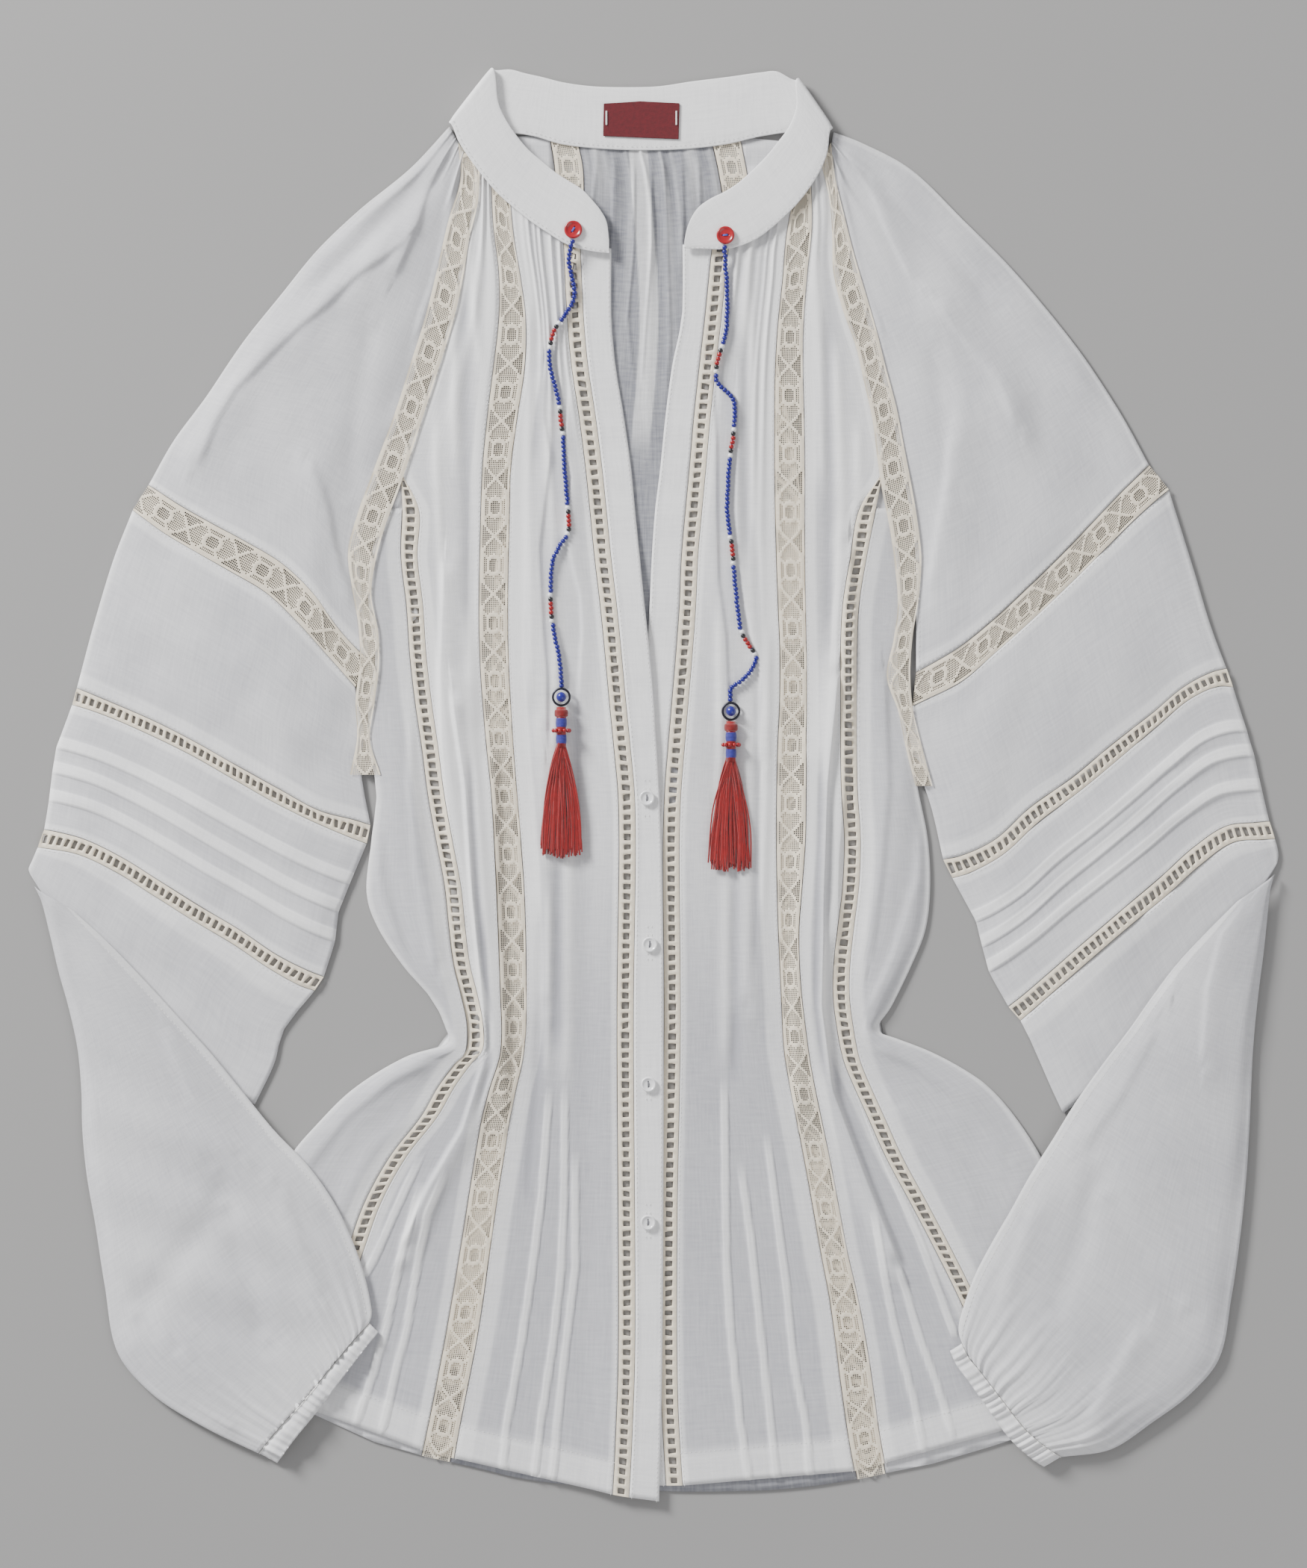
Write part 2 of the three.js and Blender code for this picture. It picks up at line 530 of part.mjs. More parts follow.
for (const side of ['left', 'right']) {
  const { at, data } = seams[side];
  const { sign } = data;
  const foldX = through(data.sideFold.map(([, x, y]) => [y, x]).sort((a, b) => a[0] - b[0]));
  const centre = BACK.lace[side];
  const edge = (offset) => {
    const x = (y) => centre(y) + sign * offset;
    return [[x(348), BACK.top(x(348))], ...BACK_LEVELS.map((y) => [x(y), y]), [x(-370), BACK.hem(x(-370))]];
  };
  const strip = BACK.laceHalf - GAP / 2;
  add(`${side}_back_lace`, 'lace', plate([...edge(-strip), ...edge(strip).reverse()], 0, BACK_TOP));
  const shy = EDGE_ROLL + BACK.foldGap;
  const raglan = (y) => mix(at.raglanInner(y), at.raglanOuter(y), 0.4);
  const rolled = (y) => foldX(y) - sign * shy;
  const levels = [310, 270, 225, 180, 140, 96, 45, 20, -5, -30, -55, -78, -97, -110, -122, -132, -142, -152,
    -162, -172, -186, -200, -225, -250, -275, -297, -312];
  const outline = levels.map((y) => (y > 8 ? [raglan(y), y] : [rolled(y), y]));
  const inner = edge(BACK.laceHalf + GAP / 2);
  const hemCorner = [rolled(-318), BACK.hem(rolled(-318)) + 1];
  const hemMid = [150, 180].map((x) => [sign * x, BACK.hem(sign * x)]).reverse();
  add(`${side}_back`, 'cloth', plate([
    ...inner, ...hemMid.reverse(), hemCorner, ...outline.reverse(),
    [raglan(340), BACK.top(raglan(340)) - 6],
  ], 0, BACK_TOP));
}

// Pleats of the centre back show through the neck: share of the width, and height
const BACK_PLEATS = [[0, 0], [0.1, 0.8], [0.15, 0], [0.24, 0.9], [0.3, 0], [0.36, 1], [0.42, 0.9],
  [0.48, 0.9], [0.5, 0], [0.6, 0.9], [0.66, 0], [0.76, 1], [0.82, 0], [0.9, 0.8], [1, 0]];
const NECK_RIMS = [
  through([[340, -70], [322, -42], [305, -25], [284, -19], [200, -12], [150, -5], [90, 0]]),
  through([[340, 62], [322, 42], [305, 18], [284, 12], [200, 3], [150, -2], [90, -6]]),
];
const RIM_CLEARANCE = 5; // pleats start this far inside the rims of the neck
{
  const { left, right } = BACK.lace;
  const reach = BACK.laceHalf + GAP / 2;
  const rows = BACK_LEVELS.length + 1;
  const opening = (x, y) => {
    const [leftRim, rightRim] = NECK_RIMS.map((rim) => rim(y));
    return ease(0, 6, x - leftRim - RIM_CLEARANCE) * ease(0, 6, rightRim - RIM_CLEARANCE - x)
      * ease(339, 333, y);
  };
  const place = (i, share) => {
    const guess = i === 0 ? 348 : BACK_LEVELS[Math.min(i, rows - 1) - 1];
    const x = mix(left(i === rows ? -370 : guess) + reach, right(i === rows ? -370 : guess) - reach, share);
    if (i === 0) return [x, BACK.top(x)];
    return i === rows ? [x, BACK.hem(x)] : [x, guess];
  };
  add('centre_back', 'cloth', wall({
    rows,
    cols: BACK_PLEATS.length - 1,
    innerCols: 2,
    outer: (i, j) => {
      const [share, rise] = BACK_PLEATS[j];
      const [x, y] = place(i, share);
      return [x, y, BACK_TOP + rise * opening(x, y)];
    },
    inner: (i, j) => [...place(i, j / 2), 0],
  }));
}

// Collar: one doubled band, folded flat at both sides. Each row is the seam point and the
// free-edge point across the band, from the left front end round to the right front end.
const COLLAR = {
  thickness: 1.6,
  front: 5.2,     // height of the front's middle surface
  back: 2.25,     // and of the back's, which lies inside out on the back panel
  foldRadius: 2.3,
};
const COLLAR_FRONT_LEFT = [[-23.8, 284.5, -23.8, 292], [-25, 284.6, -25, 301], [-31, 285.2, -28, 307],
  [-40, 287, -31.5, 311.5], [-48, 290, -38, 318.5], [-56, 295, -45, 323], [-65, 301, -52, 327.5],
  [-75, 309, -60, 334], [-83, 316, -67, 340], [-90, 324, -73, 347], [-97, 333, -78.5, 355], [-104, 343.5, -83, 365]];
const COLLAR_LEFT_FOLD = [-109.5, 354.5, -86.5, 384];
const COLLAR_BACK = [[-98, 351, -77, 383.5], [-84, 350, -69, 381.5], [-66, 348, -60, 379.5],
  [-50, 343.5, -48, 376.5], [-33, 341.3, -33, 374.5], [-15, 340.3, -15, 374], [3, 340.2, 3, 374.5],
  [20, 341, 20, 377], [40, 343.5, 40, 379.5], [60, 348, 58, 382], [76, 350, 66, 382.5]];
const COLLAR_RIGHT_FOLD = [96, 351.5, 77.5, 378.5];
const COLLAR_FRONT_RIGHT = [[93, 338, 76.5, 363], [89.5, 329, 73, 353], [84, 320, 67, 344.5],
  [77, 311, 60, 336], [70, 304, 53, 329], [62, 297, 45.5, 322.3], [54, 291.5, 38, 317.5],
  [45, 288, 30, 313.5], [37, 286.6, 24, 309], [28, 286.8, 20, 303], [19, 287, 17.5, 296], [16.4, 287.2, 16.6, 291]];
{
  const { thickness, front, back, foldRadius } = COLLAR;
  const high = (front + back) / 2 + foldRadius + 0.4;
  const low = (front + back) / 2 - foldRadius + 0.6;
  const onFront = (rows) => rows.map((row, i) => [...row, mix(high, front, ease(0, 5, i))]);
  // Half a turn about a fold line, bulging outwards by the radius
  const turn = ([sx, sy, fx, fy], outwards) => {
    const length = Math.hypot(fx - sx, fy - sy);
    const away = [(-(fy - sy) / length) * outwards, ((fx - sx) / length) * outwards];
    return [60, 20, -20, -60].map((degrees) => {
      const angle = THREE.MathUtils.degToRad(degrees);
      const out = foldRadius * (Math.cos(angle) - 1);
      const z = mix(low, high, (1 + Math.sin(angle)) / 2);
      return [sx + away[0] * out, sy + away[1] * out, fx + away[0] * out, fy + away[1] * out, z];
    });
  };
  const rows = [
    ...onFront([...COLLAR_FRONT_LEFT].reverse()).reverse(),
    ...turn(COLLAR_LEFT_FOLD, 1),
    ...COLLAR_BACK.map((row) => [...row, back]),
    ...turn(COLLAR_RIGHT_FOLD, -1).reverse(),
    ...onFront(COLLAR_FRONT_RIGHT),
  ];
  const middle = (i, v) => {
    const [sx, sy, fx, fy, z] = rows[clamp(i, 0, rows.length - 1)];
    return new THREE.Vector3(mix(sx, fx, v), mix(sy, fy, v), z);
  };
  const offset = (i, j, side) => {
    const v = j / 2;
    const along = middle(i + 1, v).sub(middle(i - 1, v));
    const across = middle(i, 1).sub(middle(i, 0));
    const normal = along.cross(across).normalize();
    return middle(i, v).addScaledVector(normal, side * thickness / 2).toArray();
  };
  add('collar', 'doubled', wall({
    rows: rows.length - 1,
    cols: 2,
    innerCols: 2,
    outer: (i, j) => offset(i, j, 1),
    inner: (i, j) => offset(i, j, -1),
  }));
}

// Label, flat on the inside of the back collar, with its lettering left off
const LABEL = {
  outline: [[-26.7, 365], [-7, 366.2], [14, 365.2], [13.5, 345.8], [-27, 347.5]],
  thickness: 0.6,
};
const labelLow = COLLAR.back + COLLAR.thickness / 2 + GAP;
add('label', 'label', plate(LABEL.outline, labelLow, labelLow + LABEL.thickness));

// Sleeves: cross seams run from the outer side fold to the inner side fold. innerRows and
// outerRows give the side folds between them, as [x, y] rows.
const SLEEVES = {
  left: {
    capOuter: [[-109.5, 353], [-130, 331], [-158, 308], [-180, 287], [-200, 262.5], [-220, 237.5],
      [-240, 208], [-257, 185], [-271, 160.5]],
    capInner: [[-100, 336], [-104, 312], [-108.5, 288], [-114.5, 262], [-123.5, 232], [-133.5, 203],
      [-144, 172], [-157, 130], [-153, 67]],
    laceTop: [[-271, 160.5], [-250, 147], [-230, 136], [-210, 125], [-190, 111], [-175, 92], [-165, 78],
      [-153, 67]],
    laceBottom: [[-279.5, 147], [-260, 133], [-240, 121.5], [-220, 110], [-200, 97], [-188, 83.5],
      [-174, 68], [-160, 52]],
    middleOuter: [[-290, 120], [-300, 87]],
    middleInner: [[-155.5, 28], [-157, 8]],
    upperLadderTop: [[-309.5, 51.5], [-295, 45.5], [-275, 37], [-255, 27.7], [-235, 16.3], [-215, 5.3],
      [-195, -5.8], [-175, -16], [-164, -18.3], [-152, -22]],
    upperLadderBottom: [[-312, 42.5], [-300, 39], [-285, 33], [-265, 24], [-245, 14], [-225, 2.5],
      [-205, -9], [-185, -19], [-167, -27], [-154, -32]],
    tucks: [
      [[-320.5, 19.5], [-300, 13], [-285, 6], [-270, -2], [-250, -11.5], [-230, -22.5], [-210, -34],
        [-190, -45], [-163, -53.5]],
      [[-322.7, 6], [-305, 2], [-285, -7], [-270, -17], [-250, -28], [-230, -40], [-210, -50], [-190, -60],
        [-169, -68.5]],
      [[-324.5, -9], [-305, -12], [-290, -19], [-270, -32], [-250, -44], [-230, -55], [-210, -66],
        [-190, -76.5], [-171, -84.5]],
    ],
    lowerLadderTop: [[-327, -24.5], [-312, -27.5], [-295, -34], [-275, -45.5], [-255, -58.3], [-235, -70.5],
      [-215, -82.5], [-195, -96], [-177, -103.5]],
    lowerLadderBottom: [[-330.5, -34], [-312, -36.8], [-297, -42.5], [-277, -54], [-257, -67], [-237, -79],
      [-217, -91], [-197, -105], [-182, -111]],
    lowerOuter: [[-333.5, -41], [-335.4, -45.5]],
    lowerInner: [[-199.5, -134], [-203.5, -150]],
    turnedEnd: [[-334.6, -48.5], [-327, -60.5], [-318, -72], [-304, -87], [-285, -106], [-265, -127],
      [-246, -149], [-232, -165], [-214, -172]],
    // The turned-over forearm: [outer x, outer y, inner x, inner y] across it, from elbow to cuff
    forearm: [[-332, -55, -329.5, -57], [-329, -61, -311, -68], [-324, -80, -293, -84.5],
      [-319, -101, -273, -105], [-313.5, -121, -255, -124.5], [-309, -142, -237, -144.5],
      [-307, -164, -219, -166.5], [-306.3, -187, -203, -186], [-304, -210, -184, -206],
      [-299.5, -236, -170, -226.5], [-294.5, -268, -160.5, -247], [-287, -306, -154.5, -265],
      [-268, -328, -151.5, -279], [-239, -346, -151, -285], [-212, -359, -152.5, -289]],
    cuffEdge: [[-202, -364.5], [-193, -352], [-180, -336], [-168, -320], [-155, -303], [-147.5, -294]],
    under: [[-118, 335], [-150, 306], [-178, 279], [-205, 246], [-235, 205], [-262, 165], [-283, 122],
      [-298, 80], [-309, 35], [-317, -5], [-321, -35], [-326, -46], [-318, -60], [-299, -104], [-283, -122],
      [-264, -143], [-248, -160], [-219, -163], [-213, -152], [-209, -139], [-197, -122],
      [-187, -102], [-181, -84], [-175, -64], [-168, -42], [-163, -20], [-164, 0], [-162, 40], [-160, 66],
      [-164, 110], [-164, 140], [-154, 172], [-141, 205], [-129, 240], [-118, 275], [-110, 312]],
    foldedLayers: [[-316, -82], [-308, -112], [-301, -140], [-298.5, -170], [-298, -200], [-293, -230],
      [-287, -262], [-281, -290], [-276, -305], [-266, -315], [-250, -327], [-232, -340], [-222, -344],
      [-217.5, -330], [-217.5, -306], [-215.5, -270], [-212, -246], [-206.5, -221], [-199, -204],
      [-214, -188], [-234, -170], [-249, -151.5], [-268, -130], [-288, -109], [-307, -90]],
    folds: [
      { height: 2.6, width: 9, path: [[-133, 293], [-160, 273], [-190, 246], [-225, 212], [-243, 172]] },
      { height: 2.4, width: 8, path: [[-190, 180], [-185, 150], [-182, 125], [-176, 100]] },
      { height: 1.8, width: 8, path: [[-205, 60], [-195, 25], [-185, 5]] },
    ],
  },
  right: {
    capOuter: [[96.5, 350], [112, 344], [138, 330], [167, 302], [190, 279], [210, 256], [230, 230.5],
      [250, 200], [266, 171]],
    capInner: [[94, 336], [99, 312], [104, 288], [111, 262], [118.5, 232], [127, 203], [132.5, 172],
      [140, 130], [141, 60]],
    laceTop: [[266, 171], [250, 155.5], [240, 145], [220, 124], [200, 104.5], [180, 86], [160, 70.5],
      [141, 60]],
    laceBottom: [[276.5, 158], [265, 148.5], [245, 129], [225, 109], [205, 90], [185, 72], [165, 55],
      [139, 42]],
    middleOuter: [[289, 118], [299, 85]],
    middleInner: [[137.5, 22], [149, -12]],
    upperLadderTop: [[307.5, 62], [295, 58.5], [283, 51], [265, 36], [248, 23], [226, 4.5], [208, -7],
      [198, -16.5], [188, -26], [178, -33], [167, -38], [155.5, -40.5]],
    upperLadderBottom: [[311, 52], [300, 52], [287, 45], [270, 31], [253, 16.5], [231, -2], [213, -14],
      [203, -24], [193, -34], [182, -41], [170, -47.5], [160.5, -50.5]],
    tucks: [
      [[318.5, 28.5], [305, 24], [290, 17], [275, 8], [260, -3], [245, -14], [230, -26], [215, -39],
        [200, -51], [185, -63], [173, -73.5]],
      [[322.5, 15], [305, 11.5], [290, 5], [275, -3.5], [260, -14.5], [245, -27], [230, -39.5], [215, -53],
        [200, -66], [188, -76], [176.5, -87.5]],
      [[326.5, -3], [305, -6.5], [292, -10.5], [277, -21], [262, -33], [247, -45], [232, -57.5], [217, -70],
        [202, -83], [190, -92.5], [180, -100.5]],
    ],
    lowerLadderTop: [[330.5, -20], [318, -21.3], [306, -22.8], [297, -26.5], [287, -36.5], [277, -45.5],
      [257, -62.5], [237, -79.5], [217, -97], [200, -112], [190.5, -119.5]],
    lowerLadderBottom: [[333.5, -29.5], [320, -30.3], [310, -31.5], [301, -35.5], [293, -43.5], [283, -53],
      [263, -69.5], [243, -86.5], [223, -104], [206, -119], [197, -127]],
    lowerOuter: [[334.8, -34], [335.4, -38.5]],
    lowerInner: [[203, -139], [213, -162]],
    turnedEnd: [[334.8, -42.5], [326, -57], [313, -72], [296, -90], [279, -109], [266, -125], [254, -141],
      [240, -160], [220, -177]],
    forearm: [[333, -48.5, 330, -51], [331, -56, 313, -63], [329, -74, 297, -79], [327, -92, 281, -96],
      [325, -108, 268, -113], [323, -126, 255, -131.5], [321.5, -144, 242, -148.5], [320.5, -165, 226, -171],
      [319.5, -186, 214, -190.5], [318, -210, 202, -209.5], [315, -240, 191.5, -228.5],
      [310, -275, 180.5, -247.5], [303, -309, 172, -264], [288, -327, 166, -281], [268, -342, 163.5, -291],
      [245, -357, 164, -296], [219, -361, 165.5, -300]],
    cuffEdge: [[209.5, -366.5], [203, -362], [191, -351], [180, -336], [168, -319], [162, -311], [159, -304]],
    under: [[108, 334], [135, 322], [165, 292], [195, 261], [222, 228], [247, 190], [268, 148], [283, 108],
      [296, 68], [309, 30], [319, -5], [325, -35], [313, -58], [304, -92], [285, -113],
      [262, -143], [244, -168], [226, -162], [220, -154], [213, -139], [203, -125], [194, -108], [187, -91],
      [181, -73], [171, -57], [164, -43], [159, -29], [161, -12], [167, 2], [161, 14], [150, 22],
      [146, 60], [147, 100], [148, 140], [141, 175], [133, 210], [122, 248], [112, 285], [106, 312]],
    foldedLayers: [[319, -72], [316, -110], [313, -145], [311, -190], [309, -225], [305, -255],
      [301, -285], [295, -303], [282, -319], [262, -336], [243, -349], [231, -350], [230.5, -330],
      [230.5, -300], [228.5, -275], [225, -250], [219.5, -226], [214, -208], [220, -190], [237, -172],
      [256, -144], [268, -128], [281, -112], [298, -93]],
    folds: [
      { height: 2.6, width: 9, path: [[150, 262], [170, 234], [187, 212], [196, 188]] },
      { height: 2.4, width: 8, path: [[161, 190], [158, 160], [153, 125], [150, 98]] },
      { height: 1.8, width: 8, path: [[190, 50], [183, 20], [178, -5]] },
    ],
  },
};
const ACROSS = [0, 0.04, 0.13, 0.26, 0.4, 0.55, 0.7, 0.84, 0.955, 1];
const SLEEVE_PUFF = 4;

// A straight crossing between two side points
const straight = ([ax, ay], [bx, by]) => ACROSS.map((u) => [mix(ax, bx, u), mix(ay, by, u)]);

// Rows between two seams whose ends follow the side folds. Each is a blend of both seams
// with its two ends pulled to its side points.
function between(first, last, outerEnds, innerEnds) {
  return outerEnds.map((outerEnd, k) => {
    const t = (k + 1) / (outerEnds.length + 1);
    const innerEnd = innerEnds[k];
    const blend = first.map(([x, y], j) => [mix(x, last[j][0], t), mix(y, last[j][1], t)]);
    const [a, b] = [blend[0], blend[blend.length - 1]];
    const pull = (axis, u) => mix(outerEnd[axis] - a[axis], innerEnd[axis] - b[axis], u);
    return blend.map(([x, y], j) => [x + pull(0, ACROSS[j]), y + pull(1, ACROSS[j])]);
  });
}

// Moves a row of points towards another row by a distance
function inset(row, towards, distance) {
  return row.map(([x, y], j) => {
    const [dx, dy] = [towards[j][0] - x, towards[j][1] - y];
    const length = Math.hypot(dx, dy);
    return [x + (dx / length) * distance, y + (dy / length) * distance];
  });
}

// One sleeve piece through rows of points. fold says which sides roll under at each row,
// rise(i, j) is what tucks add, and full(i) how far the piece stands proud there.
function sleevePiece(name, look, side, rows, { rollInner, rise = () => 0, full = () => 1 }) {
  const last = rows.length - 1;
  const trimmed = rows.map((row, i) => {
    if (i === 0) return inset(row, rows[1], GAP / 2);
    return i === last ? inset(row, rows[last - 1], GAP / 2) : row;
  });
  const { folds } = SLEEVES[side];
  add(name, look, sheetOf(last, ACROSS.length - 1, (i, j) => {
    const [x, y] = trimmed[i][j];
    const u = ACROSS[j];
    if (j === 0) return [x, y, CLOTH];
    if (j === ACROSS.length - 1 && rollInner(y)) return [x, y, CLOTH];
    const sewn = rollInner(y) ? 1 : ease(1, 0.84, u);
    const arch = Math.sin(Math.PI * u) ** 0.8 * sewn;
    const lift = SLEEVE_PUFF * arch * full(i) + swell(folds, x, y) * Math.min(1, arch * 2);
    return [x, y, FRONT + CLOTH + lift + rise(i, j)];
  }));
}

for (const side of ['left', 'right']) {
  const data = SLEEVES[side];
  const never = () => false;
  const always = () => true;
  const lines = Object.fromEntries(['laceTop', 'laceBottom', 'upperLadderTop', 'upperLadderBottom',
    'lowerLadderTop', 'lowerLadderBottom', 'turnedEnd'].map((key) => [key, crossing(data[key], ACROSS)]));
  const capRows = data.capOuter.slice(0, -1).map((outerPoint, i) => straight(outerPoint, data.capInner[i]));
  const bow = capRows.map((row, i) => row.map(([x, y], j) => {
    const t = (i / capRows.length) ** 2;
    const [sx, sy] = straight(lines.laceTop[0], lines.laceTop[ACROSS.length - 1])[j];
    return [x + (lines.laceTop[j][0] - sx) * t, y + (lines.laceTop[j][1] - sy) * t];
  }));
  sleevePiece(`${side}_sleeve_cap`, 'cloth', side, [...bow, lines.laceTop], {
    rollInner: never, full: (i) => ease(0, 4, i) * (1 - 0.25 * ease(6, 8, i)),
  });
  sleevePiece(`${side}_sleeve_lace`, 'lace', side, [lines.laceTop, lines.laceBottom], {
    rollInner: never, full: () => 0.75,
  });
  const middle = between(lines.laceBottom, lines.upperLadderTop, data.middleOuter, data.middleInner);
  sleevePiece(`${side}_sleeve_middle`, 'cloth', side, [lines.laceBottom, ...middle, lines.upperLadderTop], {
    rollInner: (y) => y < -6, full: (i) => (i === 0 || i === middle.length + 1 ? 0.75 : 1),
  });
  sleevePiece(`${side}_upper_sleeve_ladder`, 'ladder', side,
    [lines.upperLadderTop, lines.upperLadderBottom], { rollInner: always, full: () => 0.75 });
  const tuckLines = data.tucks.map((line) => crossing(line, ACROSS));
  const bounds = [lines.upperLadderBottom, ...tuckLines, lines.lowerLadderTop];
  const tuckRows = tuckLines.flatMap((line, k) => [
    inset(line, bounds[k], TUCK * 1.7), inset(line, bounds[k], GAP), inset(line, bounds[k + 2], GAP)]);
  const tuckHeights = [0, 0.1, TUCK_RISE, 0, 0.1, TUCK_RISE, 0, 0.1, TUCK_RISE, 0, 0];
  sleevePiece(`${side}_sleeve_tucks`, 'cloth', side,
    [lines.upperLadderBottom, ...tuckRows, lines.lowerLadderTop], {
      rollInner: always, rise: (i) => tuckHeights[i], full: () => 0.75,
    });
  sleevePiece(`${side}_lower_sleeve_ladder`, 'ladder', side,
    [lines.lowerLadderTop, lines.lowerLadderBottom], { rollInner: always, full: () => 0.75 });
  const lower = between(lines.lowerLadderBottom, lines.turnedEnd, data.lowerOuter, data.lowerInner);
  sleevePiece(`${side}_lower_sleeve`, 'cloth', side, [lines.lowerLadderBottom, ...lower, lines.turnedEnd], {
    rollInner: always, full: (i) => [0.75, 0.35, 0.05, 0][i],
  });
}

// The turned-over forearm, its cuff, and the layers folded away under it
const FOREARM = {
  low: 3.9,       // underside, over the folded layers
  edge: 3.5,      // underside of its inner edge, over the body's corner
  puff: 5.5,
  gathers: 14,    // columns across, alternately up and down near the cuff
  gather: 1.1,
  gatherRows: 6,
  bowRows: 5,     // rows over which the line bows to the cuff's curve
  insideCols: 5,
  cuffGap: 0.42,  // room for the gathers where the cuff is sewn on
};
for (const side of ['left', 'right']) {
  const { forearm, cuffEdge, under, foldedLayers } = SLEEVES[side];
  const lines = [0, 1, 2, 3].map((k) => through(forearm.map((row, i) => [i, row[k]])));
  const last = forearm.length - 1;
  const { low, edge, puff, gathers, gather, gatherRows, bowRows, insideCols, cuffGap } = FOREARM;
  // The outermost columns stand close to the side folds
  const sharesOf = (cols) => Array.from({ length: cols + 1 }, (_, j) => (
    j === 0 || j === cols ? j / cols : mix(0.05, 0.965, (j - 1) / (cols - 2))));
  const chord = (share) => [0, 1].map((k) => mix(cuffEdge[0][k], cuffEdge[cuffEdge.length - 1][k], share));
  const skin = (cols, wave) => {
    const shares = sharesOf(cols);
    const ends = crossing(cuffEdge, shares);
    const at = (i, j) => {
      const share = shares[j];
      const [ox, oy, ix, iy] = lines.map((line) => line(i));
      const bow = ease(last - bowRows, last, i);
      const [sx, sy] = chord(share);
      const bulk = puff * Math.sin(Math.PI * share) ** 0.7 * ease(0, 4, i) * (1 - 0.45 * bow);
      const gathered = wave(j) * gather * ease(last - gatherRows, last, i);
      const inside = low + CLOTH + mix(0.2, bulk + gathered, ease(0, 2, i));
      const height = { 0: CLOTH, [cols]: edge + CLOTH }[j] ?? inside;
      const [x, y] = [mix(ox, ix, share), mix(oy, iy, share)];
      return [x + (ends[j][0] - sx) * bow, y + (ends[j][1] - sy) * bow, height];
    };
    return { at, ends };
  };
  const top = skin(gathers, (j) => (j % 2 ? 1 : -0.2));
  const plainer = skin(insideCols, () => -0.2);
  const lowered = ([x, y, z]) => [x, y, Math.max(z - CLOTH, 0)];
  add(`${side}_forearm`, 'cloth', wall({
    rows: last,
    cols: gathers,
    innerCols: insideCols,
    outer: top.at,
    inner: (i, j) => lowered(plainer.at(i, j)),
  }));
  // Cuff: the elastic channel beyond the gathered line, humped along its middle
  const cuffPoint = ({ at, ends }, hump) => (i, j) => {
    const [x, y, z] = at(last, j);
    const [ex, ey] = ends[j];
    const share = [cuffGap / Math.hypot(ex - x, ey - y), 0.5, 1][i];
    return [mix(x, ex, share), mix(y, ey, share), i === 1 && j > 0 ? z + hump : z];
  };
  const innerCuff = cuffPoint(plainer, 0.6);
  add(`${side}_cuff`, 'doubled', wall({
    rows: 2, cols: gathers, innerCols: insideCols, outer: cuffPoint(top, 0.8),
    inner: (i, j) => lowered(innerCuff(i, j)),
  }));
  add(`${side}_sleeve_under`, 'cloth', joined([
    plate(under, 0, BACK_TOP), plate(foldedLayers, 0, low - GAP)]));
}

// Height of the garment's top under a point, from the pieces built so far
garment.updateMatrixWorld(true);
const ray = new THREE.Raycaster();
const carriers = [...garment.children];
function topAt(x, y, reach) {
  let top = 0;
  for (let k = 0; k < 9; k += 1) {
    const angle = k * Math.PI / 4;
    const out = k === 8 ? 0 : reach;
    const start = new THREE.Vector3(x + out * Math.cos(angle), y + out * Math.sin(angle), 100);
    ray.set(start, new THREE.Vector3(0, 0, -1));
    const [hit] = ray.intersectObjects(carriers);
    if (hit) top = Math.max(top, hit.point.z);
  }
  return top;
}

// Buttons: dished discs with a raised rim
const BUTTONS = [
  { name: 'red_button_left', look: 'redButton', x: -43, y: 297, across: 10 },
  { name: 'red_button_right', look: 'redButton', x: 38.5, y: 294, across: 10 },
  { name: 'pearl_button_1', look: 'pearl', x: -3.5, y: -7.5, across: 8.4 },
  { name: 'pearl_button_2', look: 'pearl', x: -2, y: -86, across: 8.4 },
  { name: 'pearl_button_3', look: 'pearl', x: -2.7, y: -161, across: 8.4 },
  { name: 'pearl_button_4', look: 'pearl', x: -2.9, y: -235, across: 8.4 },
];
for (const { name, look, x, y, across } of BUTTONS) {
  const r = across / 2;
  const profile = [[0, 0], [r * 0.85, 0], [r, 1.2], [r * 0.86, 1.9], [r * 0.6, 1.3], [0, 1.3]];
  const mesh = add(name, look, turned(profile, 14));
  mesh.position.set(x, y, topAt(x, y, r) + GAP);
}

// Bead strings: free cords from the red buttons down to their rings
const STRINGS = {
  left: {
    ring: [-49.4, 46.6],
    route: [[-43.2, 290.5], [-45, 285], [-45, 278], [-43.5, 271], [-42.2, 264], [-44, 257], [-48.5, 250],
      [-52.5, 244.5], [-55, 237], [-56, 229], [-54.6, 220], [-51.8, 210], [-50.4, 202], [-49.4, 193],
      [-48.3, 183], [-47.8, 170], [-46.8, 157], [-45.8, 146], [-46, 134.5], [-50.5, 127.5], [-54.2, 119],
      [-55, 109], [-55.2, 98], [-54.2, 86], [-52, 75], [-50, 64], [-49.4, 52.8]],
  },
  right: {
    ring: [41.5, 39],
    route: [[38.2, 287.5], [38.6, 278], [39.4, 268], [39.5, 256], [39.3, 246], [37.6, 237], [35, 229],
      [33.5, 222], [34.2, 215.5], [38, 211.5], [42.5, 207], [43.5, 198], [42.8, 188], [41.6, 179],
      [40.3, 168], [39.6, 156], [39.6, 145], [40.6, 136], [42.2, 126], [43, 115], [44.2, 103], [45.6, 90],
      [47.8, 80], [52, 73.5], [55, 67.5], [52, 60.5], [46.5, 55], [41.5, 51], [41.3, 45.3]],
  },
};
const BEAD = 2.7;
